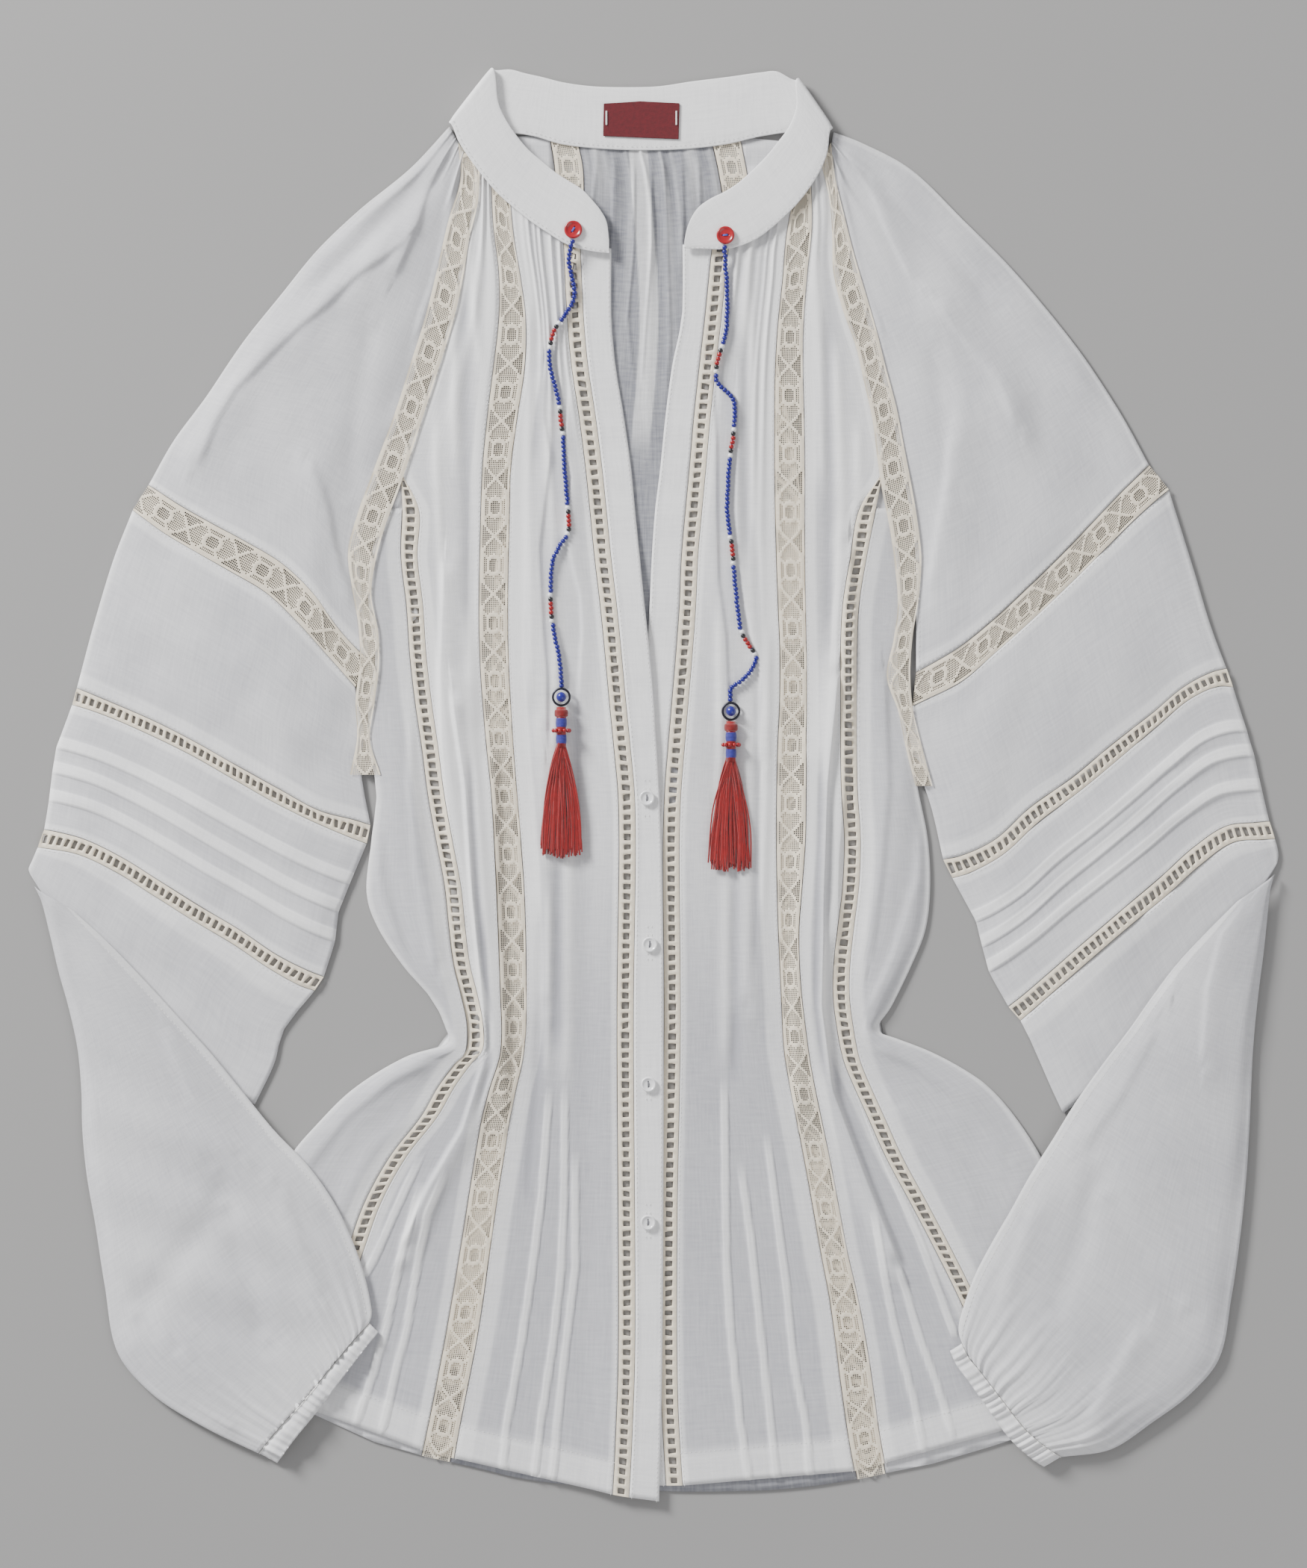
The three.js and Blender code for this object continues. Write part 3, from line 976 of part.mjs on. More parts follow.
const COLLAR_EDGE = 272; // above this y a string hangs over the collar's edge
const RING = { radius: 4.5, wire: 0.6, lift: 0.8 };
const END_BEAD = [[0, -2.9], [1.7, -2.4], [2.8, -0.9], [2.8, 0.9], [1.7, 2.4], [0, 2.9]];
const HEAD_DROP = 6.2;   // from the ring's centre to the head's top
const UNDER_TASSEL = [0, 8, 17, 27, 40, 52, 64, 76]; // where the cloth below a tassel is felt
const TASSEL = {
  collars: [[3.8, 4.2], [3, 6], [4.6, 2.6], [2.9, 6.5]], // half width and length of each wrap
  depth: 0.7,     // a head is this much as deep as it is wide
  skirt: 62,
  spread: 13.5,
  strands: 24,
  layers: 3,
  strandWidth: 1.3,
};
for (const side of ['left', 'right']) {
  const { ring, route } = STRINGS[side];
  const [rx, ry] = ring;
  const floor = Math.max(...UNDER_TASSEL.map((drop) => topAt(rx, ry - drop, 7))) + GAP;
  const above = (x, y) => topAt(x, y, y > COLLAR_EDGE ? 8 : 3) + BEAD / 2 + 2 * GAP;
  const spots = route.map(([x, y]) => new THREE.Vector3(x, y, above(x, y)));
  const track = new THREE.CatmullRomCurve3(spots, false, 'centripetal');
  const octagon = new THREE.Shape(Array.from({ length: 8 }, (_, k) => {
    const angle = (k + 0.5) * Math.PI / 4;
    return new THREE.Vector2(BEAD / 2 * Math.cos(angle), BEAD / 2 * Math.sin(angle));
  }));
  const tube = new THREE.ExtrudeGeometry(octagon, {
    steps: Math.round(track.getLength() / (2.95 * BEAD)), extrudePath: track, bevelEnabled: false,
  });
  tube.deleteAttribute('uv');
  tube.deleteAttribute('normal');
  add(`${side}_bead_string`, 'beads', mergeVertices(tube, 1e-4));
  const torus = new THREE.TorusGeometry(RING.radius, RING.wire, 5, 16);
  torus.deleteAttribute('uv');
  torus.deleteAttribute('normal');
  add(`${side}_ring`, 'steel', mergeVertices(torus, 1e-4)).position.set(rx, ry, floor + RING.lift);
  const bead = turned(END_BEAD, 10);
  add(`${side}_tassel_bead`, 'beads', bead.rotateX(Math.PI / 2)).position.set(rx, ry, floor + 2.9);
  add(`${side}_tassel`, 'silk', tassel(rx, ry - HEAD_DROP, floor));
}

// A wrapped head with strands that hang from it along -Y and lie on the cloth
function tassel(x, y, floor) {
  const { collars, depth, skirt, spread, strands, layers, strandWidth } = TASSEL;
  let reach = 0;
  const profile = [[0, 0]];
  collars.forEach(([half, length]) => {
    profile.push([half, -reach - 0.15 * length], [half, -reach - 0.85 * length]);
    reach += length;
  });
  profile.push([0, -reach]);
  const centre = floor + 4.6 * depth + 0.1;
  const head = turned(profile, 10).rotateX(-Math.PI / 2).scale(1, 1, depth);
  head.translate(x, y, centre);
  const perLayer = strands / layers;
  const list = [head];
  const root = y - reach + 1.5;
  for (let k = 0; k < strands; k += 1) {
    const layer = k % layers;
    const share = (Math.floor(k / layers) + 0.5) / perLayer * 2 - 1;
    const side = share + (layer - 1) * 0.5 / perLayer;
    const length = skirt - 3 * Math.abs(share) - (k % 5);
    const [startX, endX] = [x + side * 2, x + side * spread + 0.5];
    const [startZ, endZ] = [centre + (layer - 1) * 1.1, floor + 0.9 + layer * 1.6];
    list.push(strand([
      [startX, root, startZ],
      [mix(startX, endX, 0.45), root - length * 0.3, mix(startZ, endZ, 0.3) + 0.6],
      [mix(startX, endX, 0.85), root - length * 0.68, mix(startZ, endZ, 0.8) + 0.2],
      [endX, root - length, endZ],
    ], strandWidth));
  }
  return joined(list);
}

// A three-sided strand through [x, y, z] points that runs along -Y
function strand(path, width) {
  const points = [];
  const faces = [];
  path.forEach(([x, y, z]) => {
    for (let k = 0; k < 3; k += 1) {
      const angle = Math.PI / 2 + k * 2 * Math.PI / 3;
      points.push(x + (width / 2) * Math.cos(angle), y, z + (width / 2) * Math.sin(angle));
    }
  });
  for (let i = 0; i + 1 < path.length; i += 1) {
    for (let k = 0; k < 3; k += 1) {
      const [a, b] = [3 * i + k, 3 * i + (k + 1) % 3];
      faces.push(a, b, b + 3, a, b + 3, a + 3);
    }
  }
  const end = 3 * (path.length - 1);
  faces.push(0, 2, 1, end, end + 1, end + 2);
  return outward(points, faces);
}

export default garment;
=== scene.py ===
# A white cotton tunic with lace insertions, laid flat: cloth, lace and trimmings are
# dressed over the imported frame. Metres unless a name says mm, +Y to the collar, +Z up.
import math

import bmesh
import bpy
import numpy as np
from mathutils import Matrix, Vector
from mathutils.bvhtree import BVHTree


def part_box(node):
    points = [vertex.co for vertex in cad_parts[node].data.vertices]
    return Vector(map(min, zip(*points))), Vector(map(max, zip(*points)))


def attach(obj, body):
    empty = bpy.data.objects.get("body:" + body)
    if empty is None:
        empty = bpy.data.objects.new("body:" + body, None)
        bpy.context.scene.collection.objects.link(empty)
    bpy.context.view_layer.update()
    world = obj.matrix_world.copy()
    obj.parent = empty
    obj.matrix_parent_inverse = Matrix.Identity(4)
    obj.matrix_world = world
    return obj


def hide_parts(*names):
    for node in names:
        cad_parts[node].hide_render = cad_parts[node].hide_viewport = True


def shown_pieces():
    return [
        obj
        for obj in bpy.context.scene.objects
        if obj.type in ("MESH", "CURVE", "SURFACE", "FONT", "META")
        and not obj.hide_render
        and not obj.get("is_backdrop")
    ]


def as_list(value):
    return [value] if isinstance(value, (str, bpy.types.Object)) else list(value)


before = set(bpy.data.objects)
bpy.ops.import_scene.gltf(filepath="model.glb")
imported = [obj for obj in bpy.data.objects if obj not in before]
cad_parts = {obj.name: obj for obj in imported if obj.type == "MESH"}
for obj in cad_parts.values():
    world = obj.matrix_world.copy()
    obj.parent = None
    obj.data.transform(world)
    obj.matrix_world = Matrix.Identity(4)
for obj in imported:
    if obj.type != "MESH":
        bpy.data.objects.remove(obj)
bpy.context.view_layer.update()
mm = 0.001
sides = ("left", "right")
print("frame loaded:", len(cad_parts), "nodes")


# The camera, and the two bead strings with their routes in mm
view = {"lens": 100, "sensor": 36, "height": 2.34}
bead = 2.7 * mm
strings = {
    "left": {
        "ring": (-49.4, 46.6),
        "route": [(-43.2, 290.5), (-45, 285), (-45, 278), (-43.5, 271), (-42.2, 264), (-44, 257),
                  (-48.5, 250), (-52.5, 244.5), (-55, 237), (-56, 229), (-54.6, 220), (-51.8, 210),
                  (-50.4, 202), (-49.4, 193),
                  (-48.3, 183), (-47.8, 170), (-46.8, 157), (-45.8, 146), (-46, 134.5), (-50.5, 127.5),
                  (-54.2, 119), (-55, 109), (-55.2, 98), (-54.2, 86), (-52, 75), (-50, 64), (-49.4, 52.8)],
        # y of the middle bead of each red stretch, with a black and a white bead on both sides
        "stretches": [241, 194, 142, 94],
    },
    "right": {
        "ring": (41.5, 39),
        "route": [(38.2, 287.5), (38.6, 278), (39.4, 268), (39.5, 256), (39.3, 246), (37.6, 237), (35, 229),
                  (33.5, 222), (34.2, 215.5), (38, 211.5), (42.5, 207), (43.5, 198), (42.8, 188), (41.6, 179),
                  (40.3, 168), (39.6, 156), (39.6, 145), (40.6, 136), (42.2, 126), (43, 115), (44.2, 103),
                  (45.6, 90), (47.8, 80), (52, 73.5), (55, 67.5), (52, 60.5), (46.5, 55), (41.5, 51),
                  (41.3, 45.3)],
        "stretches": [228, 183, 125, 75],
    },
}


def makeCamera():
    eye = bpy.data.cameras.new("overheadCamera")
    eye.lens = view["lens"]
    eye.sensor_width = view["sensor"]
    camera = bpy.data.objects.new("overheadCamera", eye)
    camera.location = (0, 0, view["height"])
    bpy.context.scene.collection.objects.link(camera)
    bpy.context.scene.camera = camera


# Sums over arrays of places
def ease(low, high, value):
    share = np.clip((value - low) / (high - low), 0, 1)
    return share * share * (3 - 2 * share)


def mix(first, second, share):
    return first + (second - first) * share


def bump(reach):
    return np.exp(-reach * reach)


# Distance to a path in mm, and on which side of it: below nought to its right as it runs
def signedReach(path, x, y):
    best = np.full(np.shape(x), 9.0)
    side = np.ones(np.shape(x))
    for (ax, ay), (bx, by) in zip(path, path[1:]):
        ax, ay, dx, dy = ax * mm, ay * mm, (bx - ax) * mm, (by - ay) * mm
        share = np.clip(((x - ax) * dx + (y - ay) * dy) / (dx * dx + dy * dy), 0, 1)
        gapX, gapY = x - ax - share * dx, y - ay - share * dy
        reach = np.hypot(gapX, gapY)
        nearer = reach < best
        best = np.where(nearer, reach, best)
        side = np.where(nearer, np.where(dx * gapY - dy * gapX >= 0, 1.0, -1.0), side)
    return best * side


# Folds of laid-out cloth. Each is (height, reach on the left of its path, reach on the
# right, path), all in mm: a short reach makes a crisp edge, a height below nought a trough.
def folded(folds, x, y):
    total = np.zeros(np.shape(x))
    for height, leftReach, rightReach, path in folds:
        reach = signedReach(path, x, y)
        ends = [np.hypot(x - path[k][0] * mm, y - path[k][1] * mm) for k in (0, -1)]
        fade = ease(0, 14 * mm, np.minimum(*ends) + 4 * mm)
        total += height * mm * fade * bump(reach / (np.where(reach >= 0, leftReach, rightReach) * mm))
    return total


# Slow uneven swells that all laid-out cloth has
def rumple(x, y, seed, size=1.0):
    waves = np.random.default_rng(seed).uniform(size=(6, 4))
    total = np.zeros(np.shape(x))
    for turn, pitch, phase, weight in waves:
        angle = turn * math.pi
        pace = 2 * math.pi / mix(0.028, 0.085, pitch)
        across = x * math.cos(angle) + y * math.sin(angle)
        sway = 1.3 * np.sin(across * 23 + phase * 5)
        total += (0.4 + 0.6 * weight) * np.sin(across * pace + phase * 7 + sway)
    return total * size * 0.09 * mm


# A smooth resampling of rows of points at new stations, without overshoot in height
def resample(stations, points, wanted):
    span = np.diff(stations)
    shape = (-1,) + (1,) * (points.ndim - 1)
    slope = np.diff(points, axis=0) / span.reshape(shape)
    tangent = np.zeros_like(points)
    tangent[0], tangent[-1] = slope[0], slope[-1]
    if len(points) > 2:
        same = slope[:-1] * slope[1:] > 0
        harmonic = 2 * slope[:-1] * slope[1:] / np.where(same, slope[:-1] + slope[1:], 1)
        plain = (slope[:-1] + slope[1:]) / 2
        tangent[1:-1] = np.where(same, harmonic, 0)
        tangent[1:-1, ..., :2] = plain[..., :2]
    at = np.clip(np.searchsorted(stations, wanted, side="right") - 1, 0, len(span) - 1)
    step = span[at].reshape(shape)
    t = ((wanted - stations[at]) / span[at]).reshape(shape)
    first, second = points[at], points[at + 1]
    lead = t * (1 - t) ** 2 * tangent[at] * step
    tail = t * t * (t - 1) * tangent[at + 1] * step
    return mix(first, second, t * t * (3 - 2 * t)) + lead + tail


# Node trees: sockets that take part in sums, and materials that own their nodes
class Socket:
    def __init__(self, graph, socket):
        self.graph = graph
        self.socket = socket

    def maths(self, operation, first, second=0.0):
        return self.graph.node("ShaderNodeMath", {"operation": operation}, {0: first, 1: second})

    def __add__(self, other):
        return self.maths("ADD", self, other)

    def __radd__(self, other):
        return self.maths("ADD", other, self)

    def __sub__(self, other):
        return self.maths("SUBTRACT", self, other)

    def __rsub__(self, other):
        return self.maths("SUBTRACT", other, self)

    def __mul__(self, other):
        return self.maths("MULTIPLY", self, other)

    def __rmul__(self, other):
        return self.maths("MULTIPLY", other, self)

    def sine(self):
        return self.maths("SINE", self)

    def size(self):
        return self.maths("ABSOLUTE", self)

    def least(self, other):
        return self.maths("MINIMUM", self, other)

    def most(self, other):
        return self.maths("MAXIMUM", self, other)


class Graph:
    def __init__(self, tree):
        self.tree = tree

    def node(self, kind, settings=None, inputs=None, output=0):
        made = self.tree.nodes.new(kind)
        for key, value in (settings or {}).items():
            setattr(made, key, value)
        for key, value in (inputs or {}).items():
            self.feed(made.inputs[key], value)
        return Socket(self, made.outputs[output])

    def feed(self, socket, value):
        if isinstance(value, Socket):
            self.tree.links.new(value.socket, socket)
        else:
            socket.default_value = value


class Finish(Graph):
    def __init__(self, name, **constants):
        self.material = bpy.data.materials.new(name)
        self.material.use_nodes = True
        super().__init__(self.material.node_tree)
        self.shader = self.tree.nodes["Principled BSDF"]
        for key, value in constants.items():
            self.shader.inputs[key.replace("_", " ")].default_value = value

    def give(self, name, value):
        self.feed(self.shader.inputs[name], value)

    def place(self):
        return self.node("ShaderNodeTexCoord", output=3)

    def cut(self):
        return self.node("ShaderNodeUVMap", {"uv_map": "cut"})

    def split(self, vector):
        parts = self.node("ShaderNodeSeparateXYZ", None, {0: vector})
        return [Socket(self, output) for output in parts.socket.node.outputs]

    def noise(self, where, scale, detail=2.0, stretch=(1, 1, 1)):
        spread = self.node("ShaderNodeMapping", None, {"Vector": where, "Scale": stretch})
        return self.node("ShaderNodeTexNoise", None, {"Vector": spread, "Scale": scale, "Detail": detail})

    def mark(self, name, output=2):
        return self.node("ShaderNodeAttribute", {"attribute_name": name}, None, output)

    def blend(self, share, first, second):
        inputs = {0: share, 6: first, 7: second}
        return self.node("ShaderNodeMix", {"data_type": "RGBA"}, inputs, output=2)

    def relief(self, height, depth):
        inputs = {"Strength": 1.0, "Distance": depth, "Height": height}
        self.give("Normal", self.node("ShaderNodeBump", None, inputs))


def colour(red, green, blue):
    return (red, green, blue, 1.0)


looks = {
    "floor": colour(0.31, 0.305, 0.30),
    "thin": colour(0.44, 0.44, 0.475),      # one layer of voile
    "thick": colour(0.93, 0.925, 0.92),     # two or more layers
    "through": colour(0.175, 0.18, 0.215),   # the back, seen inside the neck
    "below": colour(0.11, 0.10, 0.092),   # painted shade: a dark sheet under the lace, seen through its holes
    "ladderHoleShade": colour(0.30, 0.29, 0.28),   # painted shade: a sheet under the ladders, seen through their holes
    "weavePitch": 0.42 * mm,
    "weaveDepth": 0.05 * mm,
    "lace": (colour(0.74, 0.63, 0.47), colour(0.93, 0.86, 0.71)),
    "label": (colour(0.06, 0.001, 0.004), colour(0.14, 0.002, 0.008)),
    "redButton": (colour(0.30, 0.003, 0.008), colour(0.42, 0.010, 0.018)),
    "pearl": (colour(0.80, 0.80, 0.815), colour(0.96, 0.96, 0.95)),
    "silk": (colour(0.16, 0.0005, 0.0007), colour(0.36, 0.002, 0.002)),
    "wrap": (colour(0.012, 0.012, 0.22), colour(0.05, 0.05, 0.42)),
    "metal": colour(0.055, 0.055, 0.07),
    "blueBead": colour(0.008, 0.006, 0.20),
    "redBead": colour(0.30, 0.002, 0.004),
    "whiteBead": colour(0.84, 0.84, 0.84),
    "blackBead": colour(0.012, 0.012, 0.014),
    "blueThread": colour(0.08, 0.12, 0.5),
    "greyThread": colour(0.20, 0.20, 0.22),
}


# Cotton voile. Its weave follows the cut of each piece, and layers say how white it is: the count of cloth
# layers, with painted light on ridges and painted shade in creases on the fronts and cuffs.
def voile(name, where, whiteness=None, thin="thin"):
    made = Finish(name, Roughness=0.85, Sheen_Weight=0.2, Sheen_Roughness=0.6)
    spot = made.cut() if where == "cut" else made.place()
    across, lengthwise = made.split(spot)[:2]
    turns = 2 * math.pi / looks["weavePitch"]
    weave = (across * turns).sine() * (lengthwise * turns).sine()
    slub = made.noise(spot, 700, 2, (1, 0.08, 1)) + made.noise(spot, 700, 2, (0.08, 1, 1))
    cloud = made.noise(made.place(), 11, 4)
    layers = whiteness if whiteness is not None else made.mark("layers")
    layers = ((cloud - 0.5) * 0.14 + (slub - 1) * 0.34 + layers).least(1.0).most(0.0)
    made.give("Base Color", made.blend(layers, looks[thin], looks["thick"]))
    made.relief(weave * 0.5 + slub * 1.6, looks["weaveDepth"])
    return made.material


# Thread and lace: cream, with a twist of fine strands
def threadwork(name, tones, fine=2600, depth=0.12, **constants):
    made = Finish(name, **{"Roughness": 0.8, "Sheen_Weight": 0.2, **constants})
    spot = made.place()
    made.give("Base Color", made.blend(made.noise(spot, fine * 0.35, 3), *tones))
    made.relief(made.noise(spot, fine, 2), depth * mm)
    return made.material


def beadGlass(name):
    made = Finish(name, Roughness=0.3, Coat_Weight=0.3)
    made.give("Base Color", made.mark("dye", output=0))
    made.relief(made.noise(made.place(), 900, 2), 0.05 * mm)
    return made.material


def buttonShell(name, tones, gloss):
    made = Finish(name, Roughness=gloss, Coat_Weight=0.4)
    made.give("Base Color", made.blend(made.noise(made.place(), 160, 4), *tones))
    return made.material


# Thread wound round and round: ridges across the length of the cut, each crest painted lighter and each
# groove darker as painted light and shade
def wound(name, tones, pitch):
    made = Finish(name, Roughness=0.45, Sheen_Weight=0.3)
    lengthwise = made.split(made.cut())[1]
    ridge = (lengthwise * (2 * math.pi / pitch)).sine()
    made.give("Base Color", made.blend(ridge * 0.25 + made.noise(made.place(), 700, 2), *tones))
    made.relief(ridge, 0.12 * mm)
    return made.material


def plainPaint(name, tone, roughness, **constants):
    made = Finish(name, Roughness=roughness, **constants)
    darker = [c * 0.86 for c in tone[:3]] + [1]
    made.give("Base Color", made.blend(made.noise(made.place(), 300, 3), tone, darker))
    return made.material


finishes = {
    "voile": voile("cottonVoile", "cut"),
    "backVoile": voile("cottonVoileBack", "cut", None, "through"),
    "underVoile": voile("cottonVoileUnder", "cut", 0.45),
    "lace": threadwork("creamLace", looks["lace"]),
    "ladder": threadwork("drawnThread", looks["lace"], 1900),
    # painted shade: the sheets under the lace and the ladders, seen through their holes
    "below": plainPaint("farLayer", looks["below"], 0.9),
    "ladderHoleShade": plainPaint("clothThroughHoles", looks["ladderHoleShade"], 0.9),
    "stitch": threadwork("sewingThread", (colour(0.74, 0.73, 0.70), colour(0.9, 0.89, 0.87)), 3000, 0.05),
    "label": threadwork("wovenLabel", looks["label"], 1500, 0.1),
    "redButton": buttonShell("redButtonPlastic", looks["redButton"], 0.3),
    "pearl": buttonShell("pearlShell", looks["pearl"], 0.22),
    "beads": beadGlass("glassBeads"),
    "metal": plainPaint("darkMetal", looks["metal"], 0.35, Metallic=0.9),
    "silk": threadwork("redSilk", looks["silk"], 1200, 0.05, Roughness=0.42, Sheen_Weight=0.4),
    "redWrap": wound("redWrapping", looks["silk"], 0.5 * mm),
    "blueWrap": wound("blueWrapping", looks["wrap"], 0.5 * mm),
    "blueThread": plainPaint("blueSewing", looks["blueThread"], 0.7),
    "greyThread": plainPaint("greySewing", looks["greyThread"], 0.7),
}


def makeStudio():
    for name, energy, size, place in (
        ("keyLight", 282, 0.95, (-2.5, 2.3, 1.65)),
        ("fillLight", 14, 1.8, (1.3, -1.0, 1.7)),
    ):
        lamp = bpy.data.lights.new(name, "AREA")
        lamp.energy = energy
        lamp.size = size
        holder = bpy.data.objects.new(name, lamp)
        holder.location = place
        holder.rotation_euler = (-Vector(place)).to_track_quat("-Z", "Y").to_euler()
        bpy.context.scene.collection.objects.link(holder)
    world = bpy.data.worlds.new("studioAir")
    world.use_nodes = True
    world.node_tree.nodes["Background"].inputs["Color"].default_value = (0.97, 0.975, 1, 1)
    world.node_tree.nodes["Background"].inputs["Strength"].default_value = 0.56
    bpy.context.scene.world = world
    bpy.ops.mesh.primitive_plane_add(size=6, location=(0, 0, -0.2 * mm))
    floor = bpy.context.object
    floor.name = "studioFloor"
    paint = Finish("paleFloor", Roughness=0.85)
    paint.shader.inputs["Base Color"].default_value = looks["floor"]
    floor.data.materials.append(paint.material)
    floor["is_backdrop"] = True


# A copy of a frame node's mesh, with its doubled points merged
def mergedCopy(node):
    source = bmesh.new()
    source.from_mesh(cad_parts[node].data)
    bmesh.ops.remove_doubles(source, verts=source.verts, dist=2e-6)
    return source


# The rim of an upper skin as four chains: down the left and right, over the top and foot
def skinRim(node, corners=None):
    source = mergedCopy(node)
    upward = {}
    for vert in source.verts:
        upward[vert] = sum(face.calc_area() * face.normal.z for face in vert.link_faces) > 0
    skin = {face for face in source.faces if all(upward[vert] for vert in face.verts)}
    ring = {}
    for face in skin:
        for edge in face.edges:
            if sum(other in skin for other in edge.link_faces) == 1:
                for vert in edge.verts:
                    ring.setdefault(vert, []).append(edge.other_vert(vert))
    if corners is None:
        found = [vert for vert in ring if sum(face in skin for face in vert.link_faces) < 3]
    else:
        spots = [Vector((x * mm, y * mm)) for x, y in corners]
        found = [min(ring, key=lambda vert: (vert.co.xy - spot).length) for spot in spots]
    mirror = -1 if node.startswith("right") else 1
    if corners is None:
        start = min(found, key=lambda vert: mirror * vert.co.x - vert.co.y)
    else:
        start = found[0] if mirror > 0 else found[1]
    chains = []
    for first in ring[start]:
        chain = [start, first]
        while chain[-1] not in found:
            chain.append(next(vert for vert in ring[chain[-1]] if vert is not chain[-2]))
        chains.append(chain)
    lean = Vector((0.8 * mirror, 0.6, 0))
    if corners is not None:
        lean = (found[1].co - found[0].co) * mirror
        lean.z = 0
    chains.sort(key=lambda chain: -(chain[-1].co - chain[0].co).normalized().dot(lean))
    if corners is not None and found[0] is found[1]:
        over = [start]
        near, far = chains
        outermost = min((near, far), key=lambda chain: mirror * chain[-1].co.x)
        near, far = (near, far) if outermost is near else (far, near)
    else:
        over, near = chains[:2]
        far = [over[-1]]
        before = over[-2]
        while far[-1] not in found or len(far) == 1:
            step = next(vert for vert in ring[far[-1]] if vert is not before)
            before = far[-1]
            far.append(step)
    foot = [near[-1]]
    before = near[-2]
    while foot[-1] is not far[-1]:
        step = next(vert for vert in ring[foot[-1]] if vert is not before)
        before = foot[-1]
        foot.append(step)
    if mirror < 0:
        near, far, over, foot = far, near, over[::-1], foot[::-1]
    chains = [np.array([tuple(vert.co) for vert in chain]) for chain in (near, far, over, foot)]
    tree = BVHTree.FromBMesh(source)
    source.free()
    return chains, tree


def along(points):
    steps = np.linalg.norm(np.diff(points[:, :2], axis=0), axis=1)
    return np.concatenate([[0], np.cumsum(np.maximum(steps, 1e-7))])


def soften(heights, passes):
    for _ in range(passes):
        for axis in (0, 1):
            wide = np.concatenate([np.take(heights, [0], axis), heights, np.take(heights, [-1], axis)], axis)
            count = heights.shape[axis]
            before, here, after = (np.take(wide, range(k, k + count), axis) for k in range(3))
            heights = (before + 2 * here + after) / 4
    return heights


class Surface:
    # A packed wall's upper skin as a function of two shares, right across and down
    def __init__(self, node, level=None, soft=8, corners=None):
        (self.left, self.right, self.top, self.foot), self.tree = skinRim(node, corners)
        self.level = level
        self.soft = soft
        shares = [along(side) / along(side)[-1] for side in (self.left, self.right)]
        if len(shares[0]) == len(shares[1]):
            shares = [(shares[0] + shares[1]) / 2] * 2
        self.shares = shares
        self.length = (along(self.left)[-1] + along(self.right)[-1]) / 2
        steps = np.linspace(0, 1, 40)
        ends = [resample(share, side, steps) for share, side in zip(shares, (self.left, self.right))]
        spread = np.linalg.norm((ends[1] - ends[0])[:, :2], axis=1)
        self.width = float(np.median(spread))
        self.widest = float(spread.max())

    def points(self, overShares, downShares):
        overShares, downShares = np.asarray(overShares), np.asarray(downShares)
        left = resample(self.shares[0], self.left, downShares)[:, None, :2]
        right = resample(self.shares[1], self.right, downShares)[:, None, :2]
        u, v = overShares[None, :, None], downShares[:, None, None]
        flat = mix(left, right, u)
        for chain, share in ((self.top, 1 - v), (self.foot, v)):
            if len(chain) > 2:
                stations = along(chain) / along(chain)[-1]
                bent = resample(stations, chain, overShares)[None, :, :2]
                flat = flat + share * (bent - mix(chain[0, :2], chain[-1, :2], u))
        if self.level is not None:
            high = self.level(flat[..., 0], flat[..., 1])
        else:
            high = soften(self.heights(flat), self.soft)
        return np.concatenate([flat, high[..., None]], axis=2)

    def heights(self, flat):
        made = np.zeros(flat.shape[:2])
        for i, j in np.ndindex(made.shape):
            spot = Vector((flat[i, j, 0], flat[i, j, 1], 0.1))
            hit = self.tree.ray_cast(spot, Vector((0, 0, -1)))[0]
            if hit is None:
                hit = self.tree.find_nearest(Vector((spot.x, spot.y, 0.004)))[0]
            made[i, j] = hit.z
        return made


# Cloth: a fine upper grid, a thin rim, and a plainer underside
def linkMesh(name, vertices, faces, material, smooth=True):
    mesh = bpy.data.meshes.new(name)
    mesh.from_pydata(vertices, [], faces)
    mesh.materials.append(material)
    mesh.polygons.foreach_set("use_smooth", [smooth] * len(mesh.polygons))
    mesh.update()
    piece = bpy.data.objects.new(name, mesh)
    bpy.context.scene.collection.objects.link(piece)
    return piece


def wear(piece, slot, *nodes):
    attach(piece, "root")
    if nodes:
        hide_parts(*nodes)
    return piece


coarse = 4   # upper cells for each cell of an underside


